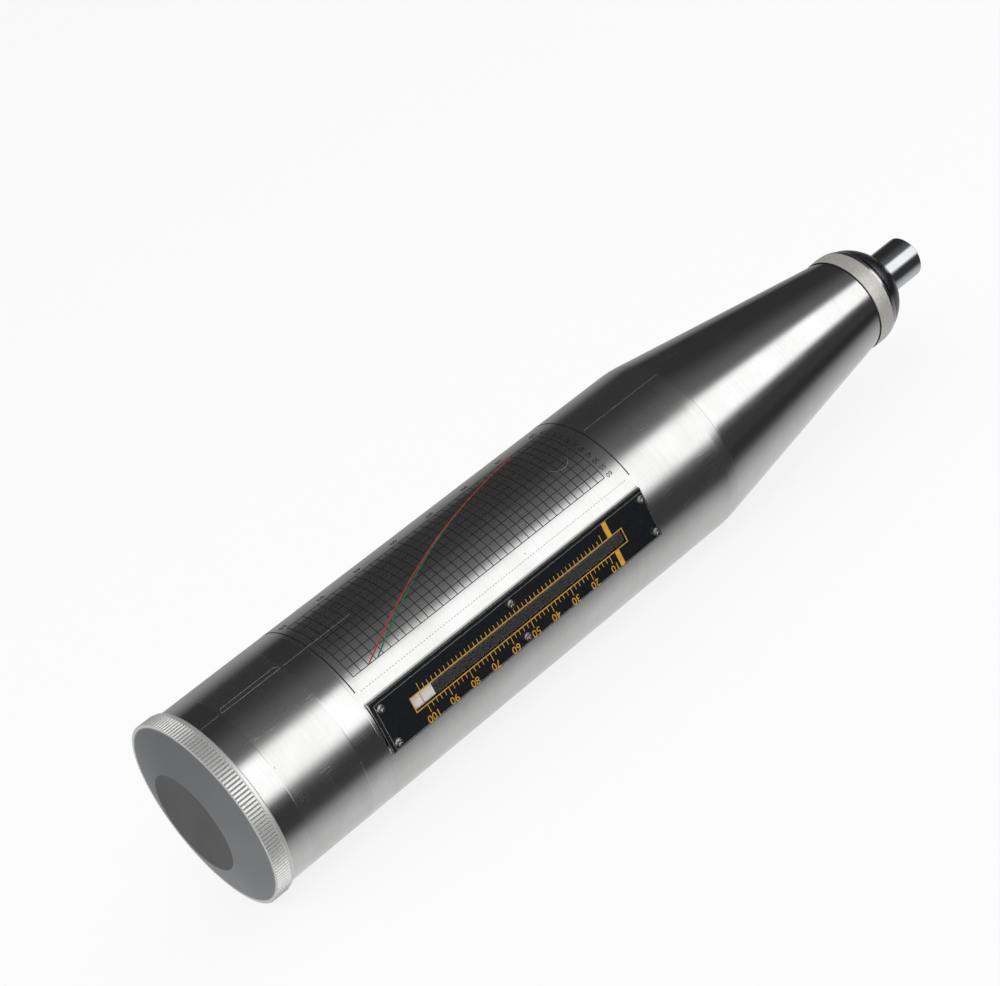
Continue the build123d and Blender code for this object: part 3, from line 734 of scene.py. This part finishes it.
def black_plate(finish):
    """Black anodised plate with painted highlights along its outer edge and its bevel line."""
    material, tree, position = new_material("black_plate", specular_ior_level=0.4)
    lines = use_group(tree, "Scratches", position=position, width_scale=1400.0)
    wear = use_group(tree, "Print Wear", position=position, grain=5000.0)
    part = parts(tree, position)
    middle = (PLATE_LOW.x + PLATE_HIGH.x) / 2
    across = calc(tree, "SUBTRACT", calc(tree, "ABSOLUTE", part[2]), PLATE_HIGH.z)
    ends = calc(tree, "ABSOLUTE", calc(tree, "SUBTRACT", part[0], middle))
    edge = calc(tree, "MAXIMUM", across, calc(tree, "SUBTRACT", ends, PLATE_HIGH.x - middle))
    edge = calc(tree, "MULTIPLY_ADD", wear["Tone"], 0.10 * MM, edge)
    # Painted highlight: light grey metal along the plate's outer edge and along the bevel line, its edge
    # wobbled by noise.
    rim = ramp(tree, edge, -0.10 * MM, 0.0)
    bevel_highlight = span(tree, edge, -0.93 * MM, -0.80 * MM, 0.05 * MM)
    painted_edge_highlight = calc(tree, "MAXIMUM", rim, calc(tree, "MULTIPLY", bevel_highlight, 0.8), clamp=True)
    black = tint(tree, wear["Grit"], finish.black, (0.011, 0.012, 0.015))
    feed(
        tree,
        # The light grey at the edges is painted highlight.
        base_color=tint(tree, painted_edge_highlight, black, (0.62, 0.62, 0.6)),
        metallic=painted_edge_highlight,
        roughness=total(tree, 0.24, (wear["Tone"], 0.05), (lines["Scratches"], 0.12), (painted_edge_highlight, -0.06)),
        normal=bump(tree, total(tree, 0.0, (wear["Grit"], 1.0), (lines["Scratches"], -1.0)), 0.004 * MM),
    )
    return material


def ink_named(name, ink):
    """The ink of that name, with uneven cover, made once."""
    if name in bpy.data.materials:
        return bpy.data.materials[name]
    material, tree, position = new_material(name)
    wear = use_group(tree, "Print Wear", position=position)
    uneven = total(tree, 0.0, (wear["Tone"], 0.6), (wear["Grit"], 0.4))
    feed(
        tree,
        base_color=tint(tree, uneven, ink, [value * 0.6 for value in ink]),
        roughness=total(tree, 0.42, (wear["Grit"], 0.12)),
        normal=bump(tree, wear["Grit"], 0.003 * MM),
    )
    return material


def clear_window():
    """Clear plastic window with a few small pits, which lets light through to the slot."""
    material, tree, position = new_material(
        "clear_window", transmission_weight=1.0, ior=1.45, metallic=0.0
    )
    pits = use_group(tree, "Scratches", position=position, length_scale=60.0)["Pits"]
    path = tree.nodes.new("ShaderNodeLightPath").outputs
    lighting = calc(tree, "MAXIMUM", path["Is Shadow Ray"], path["Is Diffuse Ray"])
    feed(
        tree,
        base_color=tint(tree, pits, (0.98, 0.99, 0.985), (0.9, 0.9, 0.9)),
        roughness=total(tree, 0.0, (pits, 0.05)),
        alpha=total(tree, 1.0, (lighting, -0.9)),
    )
    return material


def ivory_plastic(finish):
    """Moulded ivory plastic, slightly uneven."""
    material, tree, position = new_material("ivory_plastic", specular_ior_level=0.5)
    wear = use_group(tree, "Print Wear", position=position, grain=4000.0)
    feed(
        tree,
        base_color=tint(tree, wear["Tone"], finish.ivory, (0.80, 0.77, 0.67)),
        roughness=total(tree, 0.38, (wear["Grit"], 0.1)),
        normal=bump(tree, wear["Grit"], 0.004 * MM),
    )
    return material


def grey_felt():
    """Pressed felt of the nose seal."""
    material, tree, position = new_material(
        "grey_felt", roughness=0.95, sheen_weight=0.4, specular_ior_level=0.2
    )
    tufts = ramp(tree, noise(tree, position, 3800.0, 6.0, 0.7), 0.3, 0.7)
    feed(
        tree,
        base_color=tint(tree, tufts, (0.30, 0.30, 0.29), (0.52, 0.52, 0.50)),
        normal=bump(tree, tufts, 0.12 * MM),
    )
    return material


def film_edge():
    """Lifted edge of the clear film, seen as a pale line."""
    material, tree, position = new_material("film_edge", metallic=0.0)
    wear = use_group(tree, "Print Wear", position=position, grain=2500.0)
    feed(
        tree,
        base_color=tint(tree, wear["Tone"], (0.34, 0.35, 0.36), (0.16, 0.17, 0.18)),
        roughness=total(tree, 0.35, (wear["Grit"], 0.2)),
        alpha=total(tree, 0.35, (wear["Tone"], 0.5)),
    )
    return material


# Operators: finishes of the CAD pieces

class HammerOperator:
    """Options that all operators here share"""

    bl_options = {"REGISTER", "UNDO"}


class REBOUND_OT_dress_barrel(HammerOperator, bpy.types.Operator):
    """Finish the barrel and the end cover"""

    bl_idname = "rebound.dress_barrel"
    bl_label = "Barrel and End Cover"

    def execute(self, context):
        finish = context.scene.rebound_hammer.finish
        dress(barrel_metal(finish), "housing")
        dress(cover_metal(finish), "rear_cover")
        return {"FINISHED"}


class REBOUND_OT_dress_nose(HammerOperator, bpy.types.Operator):
    """Finish the front cap, the felt seal and the plunger"""

    bl_idname = "rebound.dress_nose"
    bl_label = "Nose and Plunger"

    def execute(self, context):
        finish = context.scene.rebound_hammer.finish
        dress(nose_cap_metal(finish), "front_cap")
        dress(grey_felt(), "felt_seal")
        dress(turned_metal("plunger_steel", finish.steel, (0.72, 0.73, 0.76), 0.05, 5200.0), "plunger")
        return {"FINISHED"}


class REBOUND_OT_dress_scale(HammerOperator, bpy.types.Operator):
    """Finish the scale plate, its window and the pointer"""

    bl_idname = "rebound.dress_scale"
    bl_label = "Scale Plate, Window and Pointer"

    def execute(self, context):
        finish = context.scene.rebound_hammer.finish
        shaft = turned_metal("shaft_steel", (0.95, 0.94, 0.9), (0.85, 0.84, 0.8), 0.32, 3000.0)
        brass = turned_metal("turned_brass", finish.brass, (0.55, 0.38, 0.16), 0.28)
        leaf = turned_metal("leaf_steel", (0.5, 0.51, 0.53), (0.3, 0.3, 0.32), 0.25)
        dress(black_plate(finish), "scale_plate")
        dress(clear_window(), "window")
        dress(ivory_plastic(finish), "pointer_block")
        dress(shaft, "pointer_shaft")
        dress(brass, "shaft_blocks", "spring_seat")
        dress(leaf, "pointer_leaf")
        return {"FINISHED"}


class REBOUND_OT_dress_button(HammerOperator, bpy.types.Operator):
    """Finish the lock button and its bush"""

    bl_idname = "rebound.dress_button"
    bl_label = "Lock Button"

    def execute(self, context):
        steel = turned_metal("button_steel", (0.72, 0.72, 0.74), (0.55, 0.55, 0.57), 0.14, 2600.0)
        aluminium = turned_metal("bush_aluminium", (0.86, 0.86, 0.85), (0.7, 0.7, 0.69), 0.22, 2000.0)
        dress(steel, "button")
        dress(aluminium, "button_bush")
        return {"FINISHED"}


class REBOUND_OT_dress_mechanism(HammerOperator, bpy.types.Operator):
    """Finish the mechanism inside the barrel"""

    bl_idname = "rebound.dress_mechanism"
    bl_label = "Mechanism"

    def execute(self, context):
        steel = turned_metal("inner_steel", (0.56, 0.56, 0.57), (0.4, 0.4, 0.41), 0.26)
        rod = turned_metal("rod_steel", (0.66, 0.67, 0.69), (0.55, 0.56, 0.58), 0.1, 2600.0)
        hammer = turned_metal("hammer_steel", (0.46, 0.46, 0.47), (0.3, 0.3, 0.31), 0.22)
        wire = turned_metal("spring_wire", (0.34, 0.35, 0.38), (0.2, 0.2, 0.22), 0.3, 900.0)
        dress(steel, "trip_screw", "lock_nut", "guide_flange", "hook", "hook_pin", "clamp_ring")
        dress(rod, "guide_rod")
        dress(hammer, "hammer_mass")
        dress(wire, "impact_spring", "pressure_spring", "buffer_spring", "hook_spring", "button_spring")
        return {"FINISHED"}


# Operators: prints and small pieces

class REBOUND_OT_working_springs(HammerOperator, bpy.types.Operator):
    """Copy the springs of the hammer mass, the plunger and the button into pieces of their own on their
    bodies, in place of the CAD springs
    """

    bl_idname = "rebound.working_springs"
    bl_label = "Working Springs"

    def execute(self, context):
        for node, body, joint, axis, anchor, keep in WORKING_SPRINGS:
            pick(frame["nodes"][node])
            bpy.ops.object.duplicate()
            coil = bpy.context.object
            bpy.ops.object.parent_clear(type="CLEAR_KEEP_TRANSFORM")
            coil.name = coil.data.name = f"{node}_coil"
            edit_all(coil, bpy.ops.mesh.remove_doubles, threshold=0.001 * MM)
            apply_place(coil)
            place_piece(coil, body, coil.data.materials[0])
            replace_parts(coil, node)
            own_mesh(coil)
        return {"FINISHED"}


class REBOUND_OT_chart_grid(HammerOperator, bpy.types.Operator):
    """Print the conversion chart's grid round the barrel"""

    bl_idname = "rebound.chart_grid"
    bl_label = "Chart Grid"

    def execute(self, context):
        chart = context.scene.rebound_hammer.chart
        rear, front, near, far = grid_edges(chart)
        half = chart.line / 2
        ink = ink_named("chart_ink", chart.ink)
        ring = cross_strip(rear, chart.line, near - half, far + half, rows=3 * chart.rows)
        in_a_row(ring, chart.columns + 1, (chart.cell, 0, 0))
        print_on_barrel([ring], "chart_grid_rings", chart.proud, ink)
        bar = long_strip(rear - half, front + half, near, chart.line)
        in_a_row(bar, chart.rows + 1, (0, 0, chart.cell))
        print_on_barrel([bar], "chart_grid_bars", chart.proud + 0.004 * MM, ink)
        return {"FINISHED"}


class REBOUND_OT_chart_border(HammerOperator, bpy.types.Operator):
    """Print the chart's border lines and its dotted trim line"""

    bl_idname = "rebound.chart_border"
    bl_label = "Chart Border"

    def execute(self, context):
        chart = context.scene.rebound_hammer.chart
        near, far = arc_length(chart.border_start), arc_length(chart.border_end)
        rear, front, width = chart.border_rear, chart.border_front, chart.border_line
        ink = ink_named("chart_ink", chart.ink)
        lines = [cross_strip(place, width, near, far, rows=36) for place in (rear, front)]
        lines.append(long_strip(rear - width / 2, front + width / 2, far, width))
        print_on_barrel(lines, "chart_border", chart.proud, ink)
        dot = long_strip(rear + 1.5 * MM, rear + 2.0 * MM, near - 0.49 * MM, 0.12 * MM)
        in_a_row(dot, int((front - rear - 3 * MM) / MM), (MM, 0, 0))
        print_on_barrel([dot], "chart_trim_line", chart.proud, ink)
        return {"FINISHED"}


class REBOUND_OT_chart_numbers(HammerOperator, bpy.types.Operator):
    """Print the chart's numbers along its far edge and down its front edge"""

    bl_idname = "rebound.chart_numbers"
    bl_label = "Chart Numbers"

    def execute(self, context):
        chart = context.scene.rebound_hammer.chart
        _, front, _, far = grid_edges(chart)
        size = chart.number_height
        numbers = [
            printed_number(str(20 + step), size, front - step * chart.cell, far + 1.4 * size)
            for step in range(0, chart.columns + 1, 5)
        ]
        numbers += [
            printed_number(str(10 + 5 * row), 0.85 * size, front + 1.9 * MM, far - row * chart.cell)
            for row in range(chart.rows + 1)
        ]
        print_on_barrel(numbers, "chart_numbers", chart.proud, ink_named("chart_ink", chart.ink))
        return {"FINISHED"}


class REBOUND_OT_chart_curves(HammerOperator, bpy.types.Operator):
    """Print the red and the green conversion curve across the grid"""

    bl_idname = "rebound.chart_curves"
    bl_label = "Chart Curves"

    def execute(self, context):
        chart = context.scene.rebound_hammer.chart
        rear, _, near, _ = grid_edges(chart)
        for name, ink, shape, lift in (
            ("chart_red_curve", chart.red, ((2.0, 0.0), (11.5, 4.6), (20.7, 8.2), (30.9, 9.85)), 0.018),
            ("chart_green_curve", chart.green, ((3.2, 0.0), (10.3, 3.7), (18.3, 7.1), (26.7, 9.1)), 0.012),
        ):
            points = [(rear + column * chart.cell, near + row * chart.cell) for column, row in shape]
            line = drawn_line(*points, chart.curve_line)
            print_on_barrel([line], name, chart.proud + lift * MM, ink_named(name, ink))
        return {"FINISHED"}


class REBOUND_OT_film_edges(HammerOperator, bpy.types.Operator):
    """Lay the lifted seam, the bubble and the wrinkles of the clear film on the barrel"""

    bl_idname = "rebound.film_edges"
    bl_label = "Film Seam and Bubble"

    def execute(self, context):
        finish = context.scene.rebound_hammer.finish
        seam, loop, wrinkle = (arc_length(radians(turn)) for turn in (62.9, 66.1, 52.0))
        rear, front = finish.label_rear + 0.6 * MM, finish.label_front - 0.6 * MM
        width, corner = 0.14 * MM, 1.2 * MM
        lines = [
            long_strip(rear, front, seam, width),
            long_strip(rear + corner, front - corner, loop, width),
        ]
        for end, inward in ((rear, MM), (front, -MM)):
            lines.append(
                drawn_line(
                    (end, seam),
                    (end + 0.1 * inward, seam + 0.7 * MM),
                    (end + 0.5 * inward, loop),
                    (end + 1.2 * inward, loop),
                    width,
                )
            )
        lines += [
            flat_strip(front + 0.8 * MM, 60 * MM, seam, seam + 0.09 * MM),
            flat_strip(9.6 * MM, rear - 0.8 * MM, seam, seam + 0.07 * MM),
            flat_strip(147.5 * MM, finish.film_front, seam + 0.5 * MM, seam + 0.57 * MM),
            drawn_line(
                (130.2 * MM, wrinkle + 2.2 * MM),
                (130.6 * MM, wrinkle - 0.6 * MM),
                (136.5 * MM, wrinkle - 1.2 * MM),
                (137.0 * MM, wrinkle + 2.5 * MM),
                0.16 * MM,
            ),
        ]
        item = print_on_barrel(lines, "film_seam", 0.03 * MM, film_edge())
        if len(item.data.polygons) < 100:
            raise RuntimeError("the film's seam is missing some of its lines")
        return {"FINISHED"}


class REBOUND_OT_scale_outline(HammerOperator, bpy.types.Operator):
    """Print the line round the window and the two thick bars near its front end"""

    bl_idname = "rebound.scale_outline"
    bl_label = "Scale Outline and Bars"

    def execute(self, context):
        scale = context.scene.rebound_hammer.scale
        rear, front = WINDOW_LOW.x - WINDOW_MARGIN, WINDOW_HIGH.x + WINDOW_MARGIN
        side = WINDOW_HIGH.z + WINDOW_MARGIN
        edge = scale.outline
        bar_rear, bar_front = scale.bar_place, scale.bar_place + scale.bar_width
        strips = [
            flat_strip(*corners)
            for corners in (
                (rear - edge, front + edge, side, side + edge),
                (rear - edge, front + edge, -side - edge, -side),
                (rear - edge, rear, -side, side),
                (front, front + edge, -side, side),
                (bar_rear, bar_front, side + edge, scale.bar_reach),
                (bar_rear, bar_front, -scale.bar_reach, -side - edge),
            )
        ]
        print_on_plate(strips, "scale_outline", scale)
        return {"FINISHED"}


class REBOUND_OT_scale_ticks(HammerOperator, bpy.types.Operator):
    """Print the ticks on both sides of the window, one for every two divisions"""

    bl_idname = "rebound.scale_ticks"
    bl_label = "Scale Ticks"

    def execute(self, context):
        scale = context.scene.rebound_hammer.scale
        width = scale.tick_width
        base = WINDOW_HIGH.z + WINDOW_MARGIN + scale.outline
        tip, long_tip = base + scale.tick, base + scale.ten_tick
        ticks = [
            in_a_row(cross_strip(MARK_100, width, low, high), 46, (2 * DIVISION, 0, 0))
            for low, high in ((-tip, -base), (base, tip))
        ]
        ticks += [cross_strip(place, width, -long_tip, -tip) for place in TEN_MARKS]
        ticks += [cross_strip(place, width, tip, long_tip) for place in (TEN_MARKS[0], TEN_MARKS[-1])]
        print_on_plate(ticks, "scale_ticks", scale, lift=0.002 * MM)
        return {"FINISHED"}


class REBOUND_OT_scale_numbers(HammerOperator, bpy.types.Operator):
    """Print the numbers from 100 to 10 beside their ticks"""

    bl_idname = "rebound.scale_numbers"
    bl_label = "Scale Numbers"

    def execute(self, context):
        scale = context.scene.rebound_hammer.scale
        numbers = [
            printed_number(str(100 - 10 * step), scale.number_height, place, -scale.number_row)
            for step, place in enumerate(TEN_MARKS)
        ]
        print_on_plate(numbers, "scale_numbers", scale)
        return {"FINISHED"}


class REBOUND_OT_rider_line(HammerOperator, bpy.types.Operator):
    """Print the thin red line across the rider, at its reading edge"""

    bl_idname = "rebound.rider_line"
    bl_label = "Rider Line"

    def execute(self, context):
        ink = ink_named("rider_red", context.scene.rebound_hammer.scale.rider_red)
        line = cross_strip(MARK_100, 0.22 * MM, -1.97 * MM, 1.97 * MM)
        print_on_flat([line], "rider_line", RIDER_FACE + 0.015 * MM, "rider", ink)
        return {"FINISHED"}


class REBOUND_OT_scale_screws(HammerOperator, bpy.types.Operator):
    """Make the six round-head screws of the scale plate, with crossed slots"""

    bl_idname = "rebound.scale_screws"
    bl_label = "Scale Screws"

    def execute(self, context):
        scale = context.scene.rebound_hammer.scale
        radius, height = scale.screw_radius, scale.screw_height
        pick()
        bpy.ops.mesh.primitive_cylinder_add(
            vertices=40, radius=radius, depth=height, location=(0, 0, height / 2)
        )
        head = apply_place(bpy.context.object)
        edit_all(head, bpy.ops.mesh.select_all, action="DESELECT")
        for polygon in head.data.polygons:
            polygon.select = polygon.normal.z > 0.9
        bpy.ops.object.mode_set(mode="EDIT")
        for inset, rise in ((0.12, 0.007), (0.14, 0.0196), (0.16, 0.028), (0.2, 0.0224)):
            bpy.ops.mesh.inset(thickness=inset * radius, depth=0)
            bpy.ops.transform.translate(value=(0, 0, rise * radius))
        bpy.ops.object.mode_set(mode="OBJECT")
        head.scale = (1, 1, height / max(v.co.z for v in head.data.vertices))
        apply_place(head)
        for turn in (pi / 7, pi / 7 + pi / 2):
            pick()
            bpy.ops.mesh.primitive_cube_add(size=1, location=(0, 0, height), rotation=(0, 0, turn))
            cutter = bpy.context.object
            cutter.scale = (1.25 * radius, 0.2 * radius, 0.55 * height)
            apply_place(cutter)
            apply_modifier(head, "BOOLEAN", object=cutter, operation="DIFFERENCE", solver="EXACT")
            bpy.data.objects.remove(cutter)
        soften = {"limit_method": "ANGLE", "angle_limit": radians(35)}
        apply_modifier(head, "BEVEL", width=0.035 * radius, segments=2, **soften)
        head.rotation_euler = (pi / 2, 0, 0)
        apply_place(head)
        bpy.ops.object.shade_smooth_by_angle(angle=radians(32))
        steel = turned_metal("screw_steel", (0.94, 0.93, 0.9), (0.7, 0.69, 0.66), 0.14, 4000.0)
        for count, (x, z) in enumerate(SCREW_PLACES, start=1):
            pick(head)
            bpy.ops.object.duplicate()
            screw = bpy.context.object
            screw.name = screw.data.name = f"scale_screw_{count}"
            screw.rotation_euler = (0, count * 1.1, 0)
            screw.location = (x, -PLATE_FACE, z)
            apply_place(screw)
            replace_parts(place_piece(screw, "barrel", steel), "scale_screws")
        bpy.data.objects.remove(head)
        return {"FINISHED"}


# Studio

def empty_tree(owner, name):
    """A new world or material with an empty node tree."""
    made = owner.new(name)
    made.use_nodes = True
    made.node_tree.nodes.clear()
    return made, made.node_tree


def light_path(tree):
    """The light path's sockets, and a mask of what the camera sees, also through the window."""
    path = tree.nodes.new("ShaderNodeLightPath").outputs
    return path, calc(tree, "ADD", path["Is Camera Ray"], path["Is Transmission Ray"], clamp=True)


def studio_world(studio):
    """White to the camera, an even soft light, and soft boxes and dark cards in polished metal."""
    world, tree = empty_tree(bpy.data.worlds, "studio")
    bpy.context.scene.world = world
    part = parts(tree, tree.nodes.new("ShaderNodeTexCoord").outputs["Generated"])
    turn = calc(tree, "ARCTAN2", part[2], calc(tree, "MULTIPLY", part[1], -1.0))
    lean = calc(
        tree,
        "ADD",
        ramp(tree, turn, radians(-50), radians(-25), 0.0, radians(24)),
        ramp(tree, turn, radians(60), radians(150), 0.0, radians(24)),
    )
    turned = calc(tree, "SUBTRACT", turn, calc(tree, "MULTIPLY", lean, calc(tree, "SUBTRACT", part[0], 0.5)))
    bands = put(tree, "ValToRGB", {0: ramp(tree, turned, -pi, pi, smooth=False)})
    stops = bands.color_ramp.elements
    while len(stops) < len(SURROUNDINGS):
        stops.new(0.5)
    for stop, (place, level) in zip(stops, SURROUNDINGS):
        stop.position = (place + 180) / 360
        stop.color = (level, level, level, 1)
    table_end = calc(
        tree,
        "MAXIMUM",
        ramp(tree, part[0], 0.62, 0.84, 1.0, 0.35, smooth=False),
        ramp(tree, turn, radians(-50), radians(-30)),
    )
    ahead = ramp(tree, part[0], 0.88, 0.94, 1.0, 0.06)
    behind = ramp(tree, part[0], -0.7, -0.1, 0.8, 1.0)
    shade = calc(tree, "MULTIPLY", calc(tree, "MULTIPLY", table_end, ahead), behind)
    mirrored = tint(tree, shade, (0, 0, 0), bands.outputs["Color"])
    path, seen = light_path(tree)
    mirrored = tint(tree, path["Is Glossy Ray"], (studio.room_light,) * 3, mirrored)
    light = put(tree, "Background", {"Color": tint(tree, seen, mirrored, (1, 1, 1)), "Strength": 1.0})
    put(tree, "OutputWorld", {"Surface": light.outputs[0]})


def floor_material(studio):
    """Matt white floor that keeps a faint shadow and shows white to the camera."""
    material, tree = empty_tree(bpy.data.materials, "floor_white")
    matt = put(tree, "BsdfDiffuse", {"Color": (0.9, 0.9, 0.9, 1)})
    glow = put(tree, "Emission", {"Color": (1, 1, 1, 1), "Strength": 1.0})
    share = calc(tree, "MULTIPLY", light_path(tree)[1], studio.floor_glow)
    mixed = put(tree, "MixShader", {0: share, 1: matt.outputs[0], 2: glow.outputs[0]})
    put(tree, "OutputMaterial", {"Surface": mixed.outputs[0]})
    return material


class REBOUND_OT_studio(HammerOperator, bpy.types.Operator):
    """Set up the floor, the lights, the camera and the view's colours"""

    bl_idname = "rebound.studio"
    bl_label = "Studio"

    def execute(self, context):
        studio = context.scene.rebound_hammer.studio
        context.scene.view_settings.view_transform = "Standard"
        studio_world(studio)

        pick()
        bpy.ops.mesh.primitive_plane_add(size=studio.floor_size, location=(0, 0, studio.floor_level))
        floor = apply_place(bpy.context.object)
        floor.name = floor.data.name = "floor"
        floor.data.materials.append(floor_material(studio))
        floor.visible_glossy = False

        pick()
        bpy.ops.object.light_add(type="AREA", location=LAMP_PLACE)
        lamp = bpy.context.object
        lamp.name = lamp.data.name = "soft_lamp"
        lamp.data.shape = "RECTANGLE"
        lamp.data.size, lamp.data.size_y = LAMP_SIDES
        lamp.data.energy = studio.lamp_power
        lamp.rotation_euler = (LAMP_AIM - LAMP_PLACE).to_track_quat("-Z", "Y").to_euler()
        lamp.visible_glossy = False

        pick()
        bpy.ops.object.camera_add()
        camera = bpy.context.object
        camera.name = camera.data.name = "camera"
        camera.data.sensor_width = 36.0
        camera.data.lens = studio.lens
        camera.data.clip_start, camera.data.clip_end = 0.01, 60.0
        turn = Matrix((CAMERA_RIGHT, -CAMERA_DOWN, -CAMERA_AHEAD)).transposed().to_4x4()
        camera.matrix_world = Matrix.Translation(CAMERA_PLACE) @ turn
        context.scene.camera = camera
        return {"FINISHED"}


# Panel and registration

OPERATORS = (
    REBOUND_OT_dress_barrel,
    REBOUND_OT_dress_nose,
    REBOUND_OT_dress_scale,
    REBOUND_OT_dress_button,
    REBOUND_OT_dress_mechanism,
    REBOUND_OT_working_springs,
    REBOUND_OT_chart_grid,
    REBOUND_OT_chart_border,
    REBOUND_OT_chart_numbers,
    REBOUND_OT_chart_curves,
    REBOUND_OT_film_edges,
    REBOUND_OT_scale_outline,
    REBOUND_OT_scale_ticks,
    REBOUND_OT_scale_numbers,
    REBOUND_OT_rider_line,
    REBOUND_OT_scale_screws,
    REBOUND_OT_studio,
)
SETTINGS = (ChartSettings, ScaleSettings, FinishSettings, StudioSettings, HammerSettings)


class VIEW3D_PT_rebound_hammer(bpy.types.Panel):
    """Sizes, colours and pieces of the rebound hammer"""

    bl_label = "Rebound Hammer"
    bl_idname = "VIEW3D_PT_rebound_hammer"
    bl_space_type = "VIEW_3D"
    bl_region_type = "UI"
    bl_category = "Hammer"

    def draw(self, context):
        layout = self.layout
        for title in ("chart", "scale", "finish", "studio"):
            group = getattr(context.scene.rebound_hammer, title)
            box = layout.box()
            box.label(text=title.title())
            for name in group.__annotations__:
                box.prop(group, name)
        for operator in OPERATORS:
            layout.operator(operator.bl_idname)


CLASSES = (*SETTINGS, *OPERATORS, VIEW3D_PT_rebound_hammer)


def register():
    for item in CLASSES:
        bpy.utils.register_class(item)
    bpy.types.Scene.rebound_hammer = PointerProperty(type=HammerSettings)


def unregister():
    del bpy.types.Scene.rebound_hammer
    for item in reversed(CLASSES):
        bpy.utils.unregister_class(item)


def main():
    register()
    for operator in OPERATORS:
        category, name = operator.bl_idname.split(".")
        getattr(getattr(bpy.ops, category), name)()


if __name__ == "__main__":
    main()
